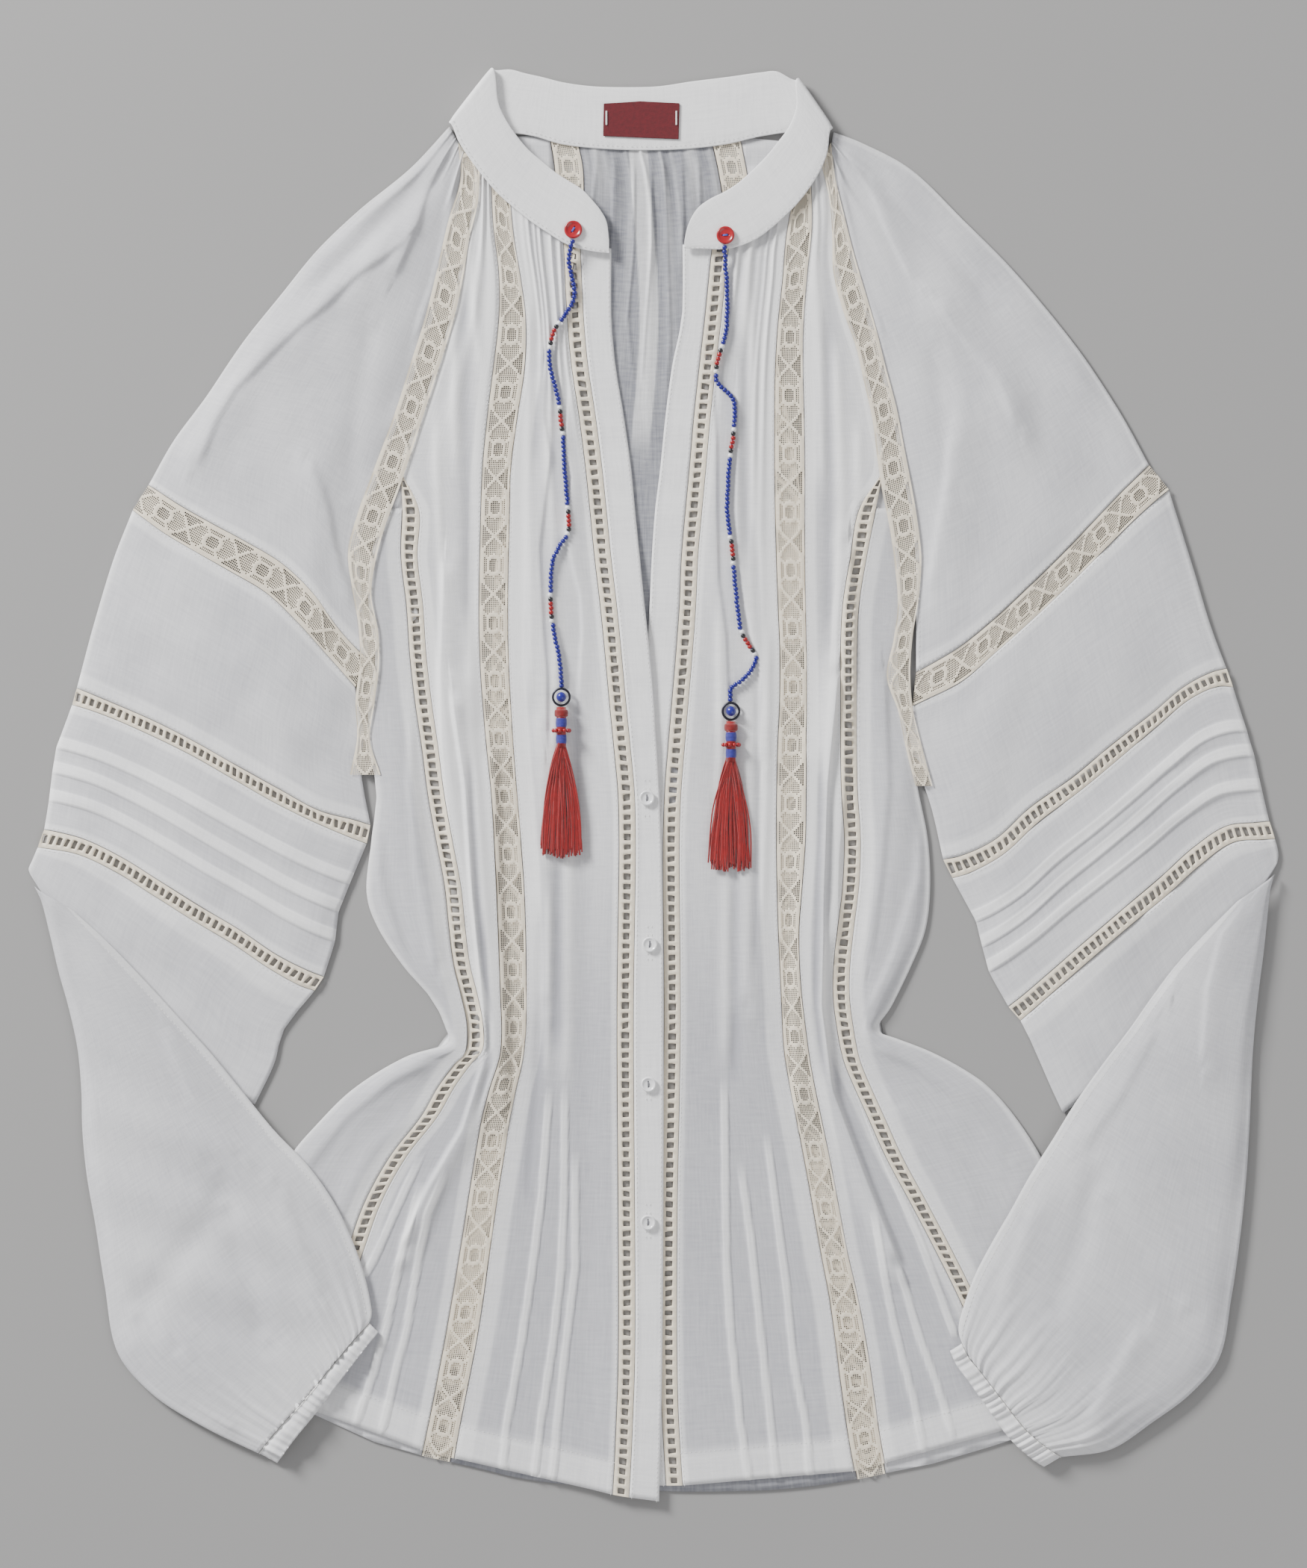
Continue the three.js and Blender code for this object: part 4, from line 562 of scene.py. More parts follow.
def clothMesh(name, top, cut, layers, thickness, material, floor=0.0):
    rows, cols = top.shape[:2]
    under = top[::coarse, ::coarse].copy()
    low = top[..., 2].copy()
    for shift in range(1, coarse):
        low[:, :-shift] = np.minimum(low[:, :-shift], top[:, shift:, 2])
        low[:, shift:] = np.minimum(low[:, shift:], top[:, :-shift, 2])
    for shift in range(1, coarse):
        low[:-shift] = np.minimum(low[:-shift], low[shift:])
        low[shift:] = np.minimum(low[shift:], low[:-shift])
    under[1:-1, 1:-1, 2] = low[::coarse, ::coarse][1:-1, 1:-1]
    under[..., 2] = np.maximum(under[..., 2] - thickness, floor)
    upper = np.arange(rows * cols).reshape(rows, cols)
    lower = rows * cols + np.arange(under.shape[0] * under.shape[1]).reshape(under.shape[:2])
    faces = quads(upper) + [face[::-1] for face in quads(lower)]
    for high, deep in (
        (upper[0], lower[0]),
        (upper[:, -1], lower[:, -1]),
        (upper[-1][::-1], lower[-1][::-1]),
        (upper[::-1, 0], lower[::-1, 0]),
    ):
        for k in range(len(deep) - 1):
            a, b = int(deep[k]), int(deep[k + 1])
            run = [int(v) for v in high[k * coarse:(k + 1) * coarse + 1]]
            half = len(run) // 2
            faces += [(run[i + 1], run[i], a) for i in range(half)]
            faces.append((run[half], a, b))
            faces += [(run[i + 1], run[i], b) for i in range(half, len(run) - 1)]
    flipped = [face[::-1] for face in faces]
    places = np.concatenate([top.reshape(-1, 3), under.reshape(-1, 3)])
    piece = linkMesh(name, places.tolist(), flipped, material)
    marks = np.concatenate([layers.ravel(), layers[::coarse, ::coarse].ravel()])
    piece.data.attributes.new("layers", "FLOAT", "POINT").data.foreach_set("value", marks)
    spots = np.concatenate([cut.reshape(-1, 2), cut[::coarse, ::coarse].reshape(-1, 2)])
    corners = np.zeros(len(piece.data.loops), int)
    piece.data.loops.foreach_get("vertex_index", corners)
    piece.data.uv_layers.new(name="cut").data.foreach_set("uv", spots[corners].ravel())
    return piece


def quads(index):
    a, b = index[:-1, :-1].ravel(), index[:-1, 1:].ravel()
    c, d = index[1:, 1:].ravel(), index[1:, :-1].ravel()
    return [tuple(int(v) for v in face) for face in zip(a, b, c, d)]


class Spots:
    # Where the points of a panel are: shares and metres across and down, and the place
    def __init__(self, surface, top, side, overShares, downShares):
        self.over, self.down = np.meshgrid(overShares, downShares)
        self.x, self.y = top[..., 0], top[..., 1]
        widths = np.linalg.norm(top[:, -1, :2] - top[:, 0, :2], axis=1)[:, None]
        self.width = widths
        self.fromLeft, self.fromRight = self.over * widths, (1 - self.over) * widths
        self.fromTop = self.down * surface.length
        self.fromFoot = (1 - self.down) * surface.length
        mirrored = side == "right"
        self.fromOuter, self.fromInner = self.fromLeft, self.fromRight
        if mirrored:
            self.fromOuter, self.fromInner = self.fromRight, self.fromLeft
        self.nearSide = np.minimum(self.fromLeft, self.fromRight)
        self.surface = surface


def roundTo(count):
    return max(int(round(count / coarse)), 1) * coarse


panels = {}


def panel(name, node, side, cell, relief, layers, thickness=0.7 * mm, slot="cloth", finish="voile",
          **surface):
    form = Surface(node, **surface)
    overShares = np.linspace(0, 1, roundTo(form.widest / cell[0]) + 1)
    downShares = np.linspace(0, 1, roundTo(form.length / cell[1]) + 1)
    top = form.points(overShares, downShares)
    spots = Spots(form, top, side, overShares, downShares)
    cut = np.stack([spots.over * form.widest, spots.down * form.length], axis=2)
    top[..., 2] = np.maximum(top[..., 2] + relief(spots), 0.9 * mm)
    piece = clothMesh(name, top, cut, np.clip(layers(spots), 0, 1), thickness, finishes[finish])
    wear(piece, slot, node)
    panels[name] = {"piece": piece, "top": top, "form": form}
    return piece


# The line that runs at a distance inside one edge of a panel's upper grid
def edgeLine(name, edge, inset, first=0.0, last=1.0):
    top = panels[name]["top"]
    rows = {"left": top, "right": top[:, ::-1], "top": top.transpose(1, 0, 2),
            "foot": top[::-1].transpose(1, 0, 2)}[edge]
    line = []
    for row in rows:
        steps = along(row)
        line.append([np.interp(inset * mm, steps, row[:, axis]) for axis in range(3)])
    line = np.array(line)
    count = len(line)
    return line[int(first * (count - 1)):int(last * (count - 1)) + 1]


# Geometry node trees: copies in a row, copies along a path, and tubes
def growTree(name, inputs):
    tree = bpy.data.node_groups.new(name, "GeometryNodeTree")
    for label, kind in inputs:
        tree.interface.new_socket(label, in_out="INPUT", socket_type="NodeSocket" + kind)
    tree.interface.new_socket("Geometry", in_out="OUTPUT", socket_type="NodeSocketGeometry")
    graph = Graph(tree)
    entry = tree.nodes.new("NodeGroupInput")
    graph.given = {label: Socket(graph, entry.outputs[label]) for label, kind in inputs}
    graph.exit = tree.nodes.new("NodeGroupOutput")
    return graph


def closeTree(graph, geometry):
    real = graph.node("GeometryNodeRealizeInstances", None, {0: geometry})
    sockets = {"Geometry": real, "Material": graph.given["Finish"]}
    painted = graph.node("GeometryNodeSetMaterial", None, sockets)
    graph.feed(graph.exit.inputs[0], painted)
    return graph.tree


def rowTree():
    inputs = [("Unit", "Object"), ("Count", "Int"), ("Pitch", "Float"), ("Finish", "Material")]
    graph = growTree("copiesInRow", inputs)
    step = graph.node("ShaderNodeCombineXYZ", None, {"Y": graph.given["Pitch"]})
    line = graph.node("GeometryNodeMeshLine", None, {"Count": graph.given["Count"], "Offset": step})
    unit = graph.node("GeometryNodeObjectInfo", None, {"Object": graph.given["Unit"]}, 4)
    copies = graph.node("GeometryNodeInstanceOnPoints", None, {"Points": line, "Instance": unit})
    return closeTree(graph, copies)


def pathTree():
    graph = growTree("copiesAlongPath", [("Geometry", "Geometry"), ("Unit", "Object"), ("Spacing", "Float"),
                                         ("Finish", "Material")])
    points = graph.node("GeometryNodeCurveToPoints", {"mode": "LENGTH"},
                        {"Curve": graph.given["Geometry"], "Length": graph.given["Spacing"]})
    turned = Socket(graph, points.socket.node.outputs["Rotation"])
    unit = graph.node("GeometryNodeObjectInfo", None, {"Object": graph.given["Unit"]}, 4)
    copies = graph.node("GeometryNodeInstanceOnPoints", None,
                        {"Points": points, "Instance": unit, "Rotation": turned})
    order = graph.node("GeometryNodeInputIndex")
    kept = graph.node("GeometryNodeStoreNamedAttribute", {"data_type": "INT", "domain": "INSTANCE"},
                      {"Geometry": copies, "Name": "order", "Value": order})
    return closeTree(graph, kept)


def tubeTree():
    graph = growTree("tubes", [("Geometry", "Geometry"), ("Radius", "Float"), ("Sides", "Int"),
                               ("Finish", "Material")])
    ring = graph.node("GeometryNodeCurvePrimitiveCircle", None,
                      {"Resolution": graph.given["Sides"], "Radius": graph.given["Radius"]})
    tube = graph.node("GeometryNodeCurveToMesh", None,
                      {"Curve": graph.given["Geometry"], "Profile Curve": ring, "Fill Caps": True})
    return closeTree(graph, tube)


trees = {"row": rowTree(), "path": pathTree(), "tube": tubeTree()}


# Runs a tree on a holder object and returns the plain mesh that comes of it
def grow(holder, tree, **values):
    modifier = holder.modifiers.new("grown", "NODES")
    modifier.node_group = tree
    for item in tree.interface.items_tree:
        if item.in_out == "INPUT" and item.name in values:
            modifier[item.identifier] = values[item.name]
    bpy.context.view_layer.update()
    depsgraph = bpy.context.evaluated_depsgraph_get()
    mesh = bpy.data.meshes.new_from_object(holder.evaluated_get(depsgraph), depsgraph=depsgraph)
    bpy.data.objects.remove(holder)
    return mesh


def emptyHolder():
    holder = bpy.data.objects.new("holder", bpy.data.meshes.new("holder"))
    bpy.context.scene.collection.objects.link(holder)
    return holder


def curveHolder(lines):
    data = bpy.data.curves.new("holder", "CURVE")
    data.dimensions = "3D"
    data.twist_mode = "Z_UP"
    for line in lines:
        spline = data.splines.new("POLY")
        spline.points.add(len(line) - 1)
        flat = np.ones((len(line), 4))
        flat[:, :3] = line
        spline.points.foreach_set("co", flat.ravel())
    holder = bpy.data.objects.new("holder", data)
    bpy.context.scene.collection.objects.link(holder)
    return holder


def dress(name, mesh, slot, *nodes, smooth=True):
    mesh.name = name
    mesh.polygons.foreach_set("use_smooth", [smooth] * len(mesh.polygons))
    piece = bpy.data.objects.new(name, mesh)
    bpy.context.scene.collection.objects.link(piece)
    return wear(piece, slot, *nodes)


def unitObject(name, vertices, faces):
    mesh = bpy.data.meshes.new(name)
    mesh.from_pydata(vertices, [], faces)
    unit = bpy.data.objects.new(name, mesh)
    bpy.context.scene.collection.objects.link(unit)
    return unit


# Strips: a length of lace or ladder bent onto a packed strip
class Strip:
    def __init__(self, grid):
        self.grid = grid            # rows run along the strip, columns across it
        middle = grid[:, grid.shape[1] // 2]
        self.steps = np.concatenate([[0], np.cumsum(np.linalg.norm(np.diff(middle, axis=0), axis=1))])
        self.length = self.steps[-1]
        ways = np.gradient(grid, axis=0), np.gradient(grid, axis=1)
        normal = np.cross(ways[1], ways[0])
        normal *= np.where(normal[..., 2:] < 0, -1, 1)
        self.normal = normal / np.maximum(np.linalg.norm(normal, axis=2, keepdims=True), 1e-12)

    def lay(self, across, lengthwise, high):
        rows, cols = self.grid.shape[:2]
        i = np.interp(lengthwise, self.steps, np.arange(rows))
        j = np.clip(across, 0, 1) * (cols - 1)
        i0, j0 = np.minimum(i.astype(int), rows - 2), np.minimum(j.astype(int), cols - 2)
        s, t = (i - i0)[:, None], (j - j0)[:, None]

        def at(field):
            near = mix(field[i0, j0], field[i0, j0 + 1], t)
            return mix(near, mix(field[i0 + 1, j0], field[i0 + 1, j0 + 1], t), s)
        return at(self.grid) + at(self.normal) * high[:, None]


def stripOf(form, relief=None, lengthwise="down", lift=0.0):
    fine = int((form.length if lengthwise == "down" else form.widest) / (1.5 * mm))
    over = np.linspace(0, 1, 9 if lengthwise == "down" else fine)
    down = np.linspace(0, 1, fine if lengthwise == "down" else 9)
    grid = form.points(over, down)
    if relief is not None:
        grid[..., 2] += relief(grid[..., 0], grid[..., 1])
    grid[..., 2] += lift
    return Strip(grid if lengthwise == "down" else grid.transpose(1, 0, 2))


# A dark sheet under a strip, which is all that its holes show: painted shade for the holes
def farLayer(name, strip, slot):
    rows = np.linspace(0, len(strip.grid) - 1, max(int(strip.length / (7 * mm)), 2)).astype(int)
    upper = strip.grid[rows][:, [0, 4, 8]].copy()
    inset = (upper[:, :1] - upper[:, 2:]) * 0.06
    upper[:, :1] -= inset
    upper[:, 2:] += inset
    upper[..., 2] = np.maximum(upper[..., 2] - 1.1 * mm, 0.35 * mm)
    lower = upper - [0, 0, 0.2 * mm]
    rings = np.concatenate([upper, lower[:, ::-1]], axis=1)
    # the sheet's colour is painted shade, lighter under the ladders
    finish = "ladderHoleShade" if slot == "ladder" else "below"
    wear(ringMesh(name, rings, finishes[finish]), slot)


def trimming(name, unit, pitch, width, strip, finish, slot, node, uneven=None):
    count = max(int(round(strip.length / pitch)), 1)
    mesh = grow(emptyHolder(), trees["row"], Unit=unit, Count=count, Pitch=pitch, Finish=finishes[finish])
    places = np.zeros(len(mesh.vertices) * 3)
    mesh.vertices.foreach_get("co", places)
    places = places.reshape(-1, 3)
    if uneven is not None:
        places = uneven(places, count)
    laid = strip.lay(places[:, 0] / width + 0.5, places[:, 1] * strip.length / (count * pitch), places[:, 2])
    mesh.vertices.foreach_set("co", laid.ravel())
    mesh.update()
    if "Back" not in name:
        farLayer(name + "FarLayer", strip, slot)
    return dress(name, mesh, slot, node)


# One repeat of the lace, from one crossing to the next. Two braids bulge round a medallion
# and cross. Holes of the net are real, and the braids and rings stand up from it.
lace = {
    "pitch": 31.4 * mm, "width": 15.5 * mm, "cells": (15, 31),
    "braidReach": 6.0, "braidHalf": 1.15, "braidHeight": 0.65,
    "ring": (3.1, 4.9), "ringHalf": 0.30, "ringHeight": 0.5, "spoke": 0.75,
    "edge": 6.7, "edgeHeight": 0.3, "netHole": 0.39, "dotHole": 0.27,
}


def laceShape(u, v):
    crossing = abs(v - lace["pitch"] / mm / 2)
    fromCrossing = lace["pitch"] / mm / 2 - crossing
    braid = lace["braidReach"] * np.sin(np.minimum(fromCrossing / 9.0, 1) * math.pi / 2)
    outside = np.abs(u) - braid
    ring = np.hypot(u / lace["ring"][0], (crossing) / lace["ring"][1])
    return outside, ring, fromCrossing


# How far a place is from the four bars that join the medallion to the braids
def spokeReach(u, v):
    turned = np.abs(v - lace["pitch"] / mm / 2)
    return np.abs(np.abs(u) * 0.75 - turned * 0.66) / lace["spoke"]


def laceHole(u, v):
    outside, ring, fromCrossing = laceShape(u, v)
    if abs(u) > lace["edge"] + 0.4 or abs(outside) < 0.75:
        return 0
    if ring < 0.8:
        return lace["netHole"]
    if ring < 1.28:
        return 0
    if outside > 0:
        return lace["netHole"] if fromCrossing < 8 else lace["dotHole"]
    if spokeReach(u, v) < 1:
        return 0
    return lace["netHole"] - 0.06


def laceRelief(u, v):
    outside, ring, fromCrossing = laceShape(u, v)
    braid = lace["braidHeight"] * bump(outside / lace["braidHalf"])
    medallion = lace["ringHeight"] * bump((ring - 1.04) / lace["ringHalf"])
    spokes = 0.4 * bump(spokeReach(u, v)) * ease(1.1, 1.4, ring) * ease(0, -0.6, outside)
    medallion = np.maximum(medallion, spokes)
    edge = lace["edgeHeight"] * ease(lace["edge"], lace["edge"] + 0.6, np.abs(u))
    return np.maximum(np.maximum(braid, medallion), edge)


def makeLaceUnit():
    across, lengthwise = lace["cells"]
    cellU, cellV = lace["width"] / mm / across, lace["pitch"] / mm / lengthwise
    points, faces = [], []

    def put(u, v, sink=0.0):
        points.append((u * mm, v * mm, (0.15 + laceRelief(u, v) - sink) * mm))
        return len(points) - 1
    corners = [[put((j - across / 2) * cellU, i * cellV) for j in range(across + 1)]
               for i in range(lengthwise + 1)]
    for i in range(lengthwise):
        for j in range(across):
            u, v = (j + 0.5 - across / 2) * cellU, (i + 0.5) * cellV
            square = [corners[i][j], corners[i][j + 1], corners[i + 1][j + 1], corners[i + 1][j]]
            hole = laceHole(u, v)
            if hole == 0:
                faces.append(tuple(square))
                continue
            rim = [put(u - hole, v - hole), put(u + hole, v - hole),
                   put(u + hole, v + hole), put(u - hole, v + hole)]
            for k in range(4):
                faces.append((square[k], square[(k + 1) % 4], rim[k]))
                faces.append((square[(k + 1) % 4], rim[(k + 1) % 4], rim[k]))
    return unitObject("laceUnit", points, faces)


# One rung of a drawn-thread ladder: two edges, half a bundle at each end, and the hole
def makeLadderUnit(name, width, pitch, hole, high=0.45):
    half, step = width / 2, pitch / 2
    holeU, holeV = hole[0] / 2, hole[1] / 2
    us = [-half, -half + 0.5, -holeU - 0.7, -holeU, 0, holeU, holeU + 0.7, half - 0.5, half]
    vs = [-step, -holeV - 0.5, -holeV, 0, holeV, holeV + 0.5, step]
    if step - holeV < 0.7:
        vs = [-step, -holeV, 0, holeV, step]
    first, last = vs.index(-holeV), vs.index(holeV)
    points, faces, index = [], [], {}
    for i, v in enumerate(vs):
        for j, u in enumerate(us):
            if first < i < last and 3 < j < 5:
                continue
            rim = 3 <= j <= 5 and first <= i <= last
            corner = (j in (3, 5)) and (i in (first, last))
            pull = 0.95 if corner else 1.0
            bundle = 3 <= j <= 5 and not first < i < last
            edge = 0.75 if j in (2, 6) else (0.35 if j in (1, 7) else 0.0)
            rise = 0.9 if bundle and not rim else (0.3 if rim else edge)
            index[i, j] = len(points)
            points.append((u * pull * mm, (v * pull + step) * mm, (0.1 + rise * high) * mm))
    for i in range(len(vs) - 1):
        for j in range(len(us) - 1):
            keys = [(i, j), (i, j + 1), (i + 1, j + 1), (i + 1, j)]
            if j in (3, 4) and first <= i < last:
                continue
            faces.append(tuple(index[key] for key in keys))
    ring = [(first, 3), (first, 4), (first, 5)] + [(i, 5) for i in range(first + 1, last + 1)]
    ring += [(last, 4), (last, 3)] + [(i, 3) for i in range(last - 1, first, -1)]
    rim = [index[key] for key in ring]
    deep = []
    for key in rim:
        u, v, z = points[key]
        deep.append(len(points))
        points.append((u * 0.94, v, z - 0.75 * mm))
    for k in range(len(rim)):
        other = (k + 1) % len(rim)
        faces.append((rim[k], rim[other], deep[other], deep[k]))
    return unitObject(name, points, faces)


# Hand-drawn threads: no two holes have quite the same size and slant
def unevenHoles(pitch, holeHalf, seed):
    def change(places, count):
        chance = np.random.default_rng(seed).normal(size=(count + 1, 4))
        at = np.clip((places[:, 1] / pitch).astype(int), 0, count - 1)
        v = places[:, 1] - (at + 0.5) * pitch
        inside = (np.abs(places[:, 0]) <= holeHalf[0] * 1.01) & (np.abs(v) <= holeHalf[1] * 1.01)
        grown = np.clip(1 + 0.09 * chance[at, 0], 0.8, 1.15)
        tall = np.clip(1 + 0.11 * chance[at, 1], 0.8, 1.2)
        slant = 0.09 * chance[at, 2]
        made = places.copy()
        made[:, 0] = np.where(inside, places[:, 0] * grown, places[:, 0])
        made[:, 1] = np.where(inside, (at + 0.5) * pitch + v * tall + places[:, 0] * slant, places[:, 1])
        return made
    return change


ladders = {
    "front": {"width": 8.8, "pitch": 5.3, "hole": (4.1, 3.2)},
    "side": {"width": 8.8, "pitch": 4.9, "hole": (4.4, 3.2)},
    "sleeve": {"width": 9.6, "pitch": 4.1, "hole": (5.1, 2.3)},
}


def ladderStrip(name, kind, strip, node, seed):
    sizes = ladders[kind]
    pitch = sizes["pitch"] * mm
    half = (sizes["hole"][0] / 2 * mm, sizes["hole"][1] / 2 * mm)
    return trimming(name, units[kind], pitch, sizes["width"] * mm, strip, "ladder", "ladder", node,
                    unevenHoles(pitch, half, seed))


# The front: level, long folds and the edges that lie over what is beside them
fronts = {
    "top": 2.3 * mm,
    "lap": 2.0 * mm,      # lift of the left edge over the right
    "hem": 18 * mm,
    "folds": {
        "left": [
            (3.9, 8, 1.5, [(-108, 50), (-101, 0), (-97, -60), (-91, -120), (-91, -150), (-102, -185),
                           (-121, -217), (-136, -250)]),
            (2.0, 2.5, 7, [(-86, 20), (-84, -60), (-80, -120), (-80, -180)]),
            (2.4, 8, 2.0, [(-112, 120), (-114, 60), (-113, 20), (-108, -30), (-104, -80)]),
            (1.6, 7, 7, [(-57, 30), (-58, -40), (-57, -120)]),
            (1.3, 1.6, 7, [(-59, 225), (-59.5, 196), (-56, 176), (-62, 127), (-60, 83), (-58, 60),
                           (-58, 20)]),
            (1.1, 6, 1.4, [(-44, 215), (-47, 179), (-43, 166), (-45.5, 144), (-46.8, 134), (-43, 118),
                           (-38.5, 101), (-37.5, 83), (-40, 40)]),
        ],
        "right": [
            (3.8, 1.5, 8, [(99, 60), (93, 0), (91, -60), (90, -120), (96, -165), (113, -210), (132, -258)]),
            (2.0, 7, 2.5, [(80, 20), (78, -60), (76, -120), (78, -180)]),
            (2.4, 2.0, 8, [(105, 130), (106, 60), (103, 10), (99, -40), (98, -90)]),
            (1.6, 7, 7, [(52, 30), (52, -40), (50, -120)]),
            (1.2, 6, 1.5, [(45, 215), (46, 185), (45, 150), (46, 120), (50, 95), (58, 60), (58, 10)]),
            (1.1, 1.5, 6, [(31, 215), (33, 185), (33, 150), (34, 110), (38, 80), (40, 30)]),
        ],
    },
    "sideFolds": {
        "left": [
            (1.6, 3, 9, [(-150, -5), (-148, -50), (-134, -95), (-114, -130)]),
            (1.5, 8, 2.5, [(-128, 60), (-130, 0), (-126, -50), (-116, -100)]),
            (1.4, 2.5, 8, [(-118, -148), (-140, -158), (-165, -178), (-188, -208)]),
            (1.1, 6, 6, [(-128, -178), (-150, -195), (-172, -235)]),
        ],
        "right": [
            (1.6, 9, 3, [(146, -5), (143, -50), (130, -92), (115, -124)]),
            (1.5, 2.5, 8, [(123, 60), (125, 0), (121, -50), (115, -95)]),
            (1.4, 8, 2.5, [(118, -140), (140, -150), (166, -170), (190, -200)]),
            (1.1, 6, 6, [(130, -170), (152, -190), (176, -232)]),
        ],
    },
    # stitched tucks low on the panels, (first y, path) in mm
    "tucks": {
        "left": [[(-56, -165), (-60, -220), (-65, -260), (-71, -300), (-79, -345), (-81, -371)],
                 [(-47.5, -165), (-48, -220), (-49.5, -260), (-54, -300), (-61, -345), (-64, -372)],
                 [(-42, -200), (-42, -260), (-47, -300), (-52, -345), (-54, -372)],
                 [(-112, -210), (-121, -230), (-127, -260), (-132, -290), (-140, -322), (-145, -345)],
                 [(-125, -215), (-135, -250), (-143, -290), (-150, -315), (-159, -341)],
                 [(-125, -200), (-139, -230), (-150, -255), (-155, -263)]],
        "right": [[(38, -160), (39, -252), (41, -290), (46, -340), (51, -372)],
                  [(47, -206), (53, -250), (57, -290), (62, -336), (66, -374)],
                  [(61, -190), (66, -230), (71, -267), (73, -290), (76, -315), (82, -345), (84, -373)],
                  [(118, -229), (124, -265), (129, -290), (134, -310), (141, -336), (144.5, -357)],
                  [(131.5, -259), (143, -298), (152, -322), (160, -347)],
                  [(110, -165), (123, -198), (143, -245), (161, -294)]],
    },
    "tuckHalf": 2.0,
    # soft pleats of the laid cloth: (painted light above nought and painted shade below it, half width, path)
    # in mm
    "bands": {
        "left": [
            (0.55, 2.6, [(-45.5, -20), (-46, -130), (-47, -170)]), (0.45, 1.6, [(-56, -50), (-57, -165)]),
            (0.5, 1.8, [(-98.5, 300), (-95.7, 255), (-92, 215)]), (0.5, 1.7, [(-107, 250), (-106, 160)]),
            (0.45, 1.7, [(-117, 205), (-116, 160), (-112, 90)]), (-0.5, 2.6, [(-51, -30), (-51.5, -150)]),
            (-0.45, 2.4, [(-101, 270), (-100, 170), (-98, 60)]),
            (0.5, 2.2, [(-100, 100), (-95, 0), (-88, -90)]),
            (0.4, 1.8, [(-66, 270), (-67, 150), (-66, 40)]), (-0.4, 2.2, [(-62, 260), (-63, 160)]),
            (0.35, 1.6, [(-52, 110), (-53, 20), (-50, -40)]), (-0.4, 1.8, [(-41, 60), (-41, -30)]),
            (0.45, 1.9, [(-114, 60), (-108, 0), (-99, -60), (-94, -120)]),
            (-0.4, 2.0, [(-60, -60), (-62, -160), (-68, -230)]),
            (-0.75, 1.5, [(-98.5, 20), (-94, -60), (-88, -120), (-88, -152), (-99, -188)]),
            (-0.6, 1.3, [(-83.5, 20), (-81.5, -60), (-77.5, -120), (-77.5, -175)]),
        ],
        "right": [
            (0.55, 2.5, [(39.5, -40), (39, -160)]), (-0.5, 2.4, [(44, -40), (43.5, -165)]),
            (0.45, 1.8, [(52, 270), (54, 190), (56, 120)]), (-0.45, 2.4, [(48, 250), (49, 160), (50, 110)]),
            (0.5, 1.9, [(88, 290), (90, 220), (91, 150)]), (-0.45, 2.4, [(93, 260), (95, 160), (94, 70)]),
            (0.5, 2.0, [(98, 240), (101, 150), (98, 60), (92, -10)]),
            (0.45, 1.9, [(110, 200), (110, 120), (106, 60)]),
            (0.4, 1.6, [(35, 100), (36, 20), (34, -30)]), (-0.4, 1.8, [(57, 60), (56, -20), (54, -110)]),
            (0.45, 2.0, [(95, -60), (91, -120), (95, -170)]), (0.4, 1.6, [(62, 90), (61, 0), (58, -80)]),
            (-0.75, 1.5, [(90.5, 20), (88, -60), (87, -120), (93, -168)]),
            (-0.6, 1.3, [(77.5, 20), (75.5, -60), (73.5, -120), (75.5, -175)]),
        ],
    },
}


def frontLevel(side, lift=0.0):
    def level(x, y):
        made = fronts["top"] + folded(fronts["folds"][side], x, y) + rumple(x, y, len(side))
        if side == "left":
            made = made + fronts["lap"] * ease(-38 * mm, -18 * mm, x) * (1 - ease(95 * mm, 150 * mm, y))
        return made + lift
    return level


def tuckShare(side, x, y):
    total = np.zeros(np.shape(x))
    for path in fronts["tucks"][side]:
        reach = np.abs(signedReach(path, x, y)) / mm
        fade = ease(path[0][1] * mm + 6 * mm, path[0][1] * mm - 14 * mm, y)
        total = np.maximum(total, fade * ease(fronts["tuckHalf"] + 0.35, fronts["tuckHalf"] - 0.35, reach))
    return total


# Painted light and shade in bands along the folds: above nought painted light, below nought painted shade.
# The fronts' relief rises and sinks with the same share.
def bandShare(side, x, y):
    total = np.zeros(np.shape(x))
    for paintedShading, half, path in fronts["bands"][side]:
        high, low = path[0][1] * mm, path[-1][1] * mm
        ends = ease(high + 2 * mm, high - 22 * mm, y) * ease(low - 2 * mm, low + 26 * mm, y)
        total += paintedShading * ends * bump(signedReach(path, x, y) / (half * 1.5 * mm))
    return total


# Gathers that hang from the collar seam: each is a soft pleat of its own length and drift
def gathers(spots, count, seed, reach, sharp=1.0):
    chance = np.random.default_rng(seed).uniform(size=(count, 5))
    total = np.zeros(spots.x.shape)
    for k, (place, drift, length, height, width) in enumerate(chance):
        sway = 0.05 * (drift - 0.5) * np.sin(spots.fromTop * 25 + 6 * length)
        centre = (k - 0.15 + 1.3 * place) / count + sway
        half = mix(0.16, 0.62, width ** 1.5) / count * sharp
        end = reach * mix(0.3, 1.6, length ** 2)
        fade = 1 - ease(end * 0.25, end, spots.fromTop)
        widen = 1 + 1.3 * spots.fromTop / reach
        total += mix(0.2, 1.25, height) * fade * bump((spots.over - centre) / (half * widen))
    return total


def hemShare(spots, depth):
    return ease(depth + 0.5 * mm, depth - 0.5 * mm, spots.fromFoot)


def edgeFall(spots, reach=2.5 * mm):
    return ease(0, reach, spots.nearSide)


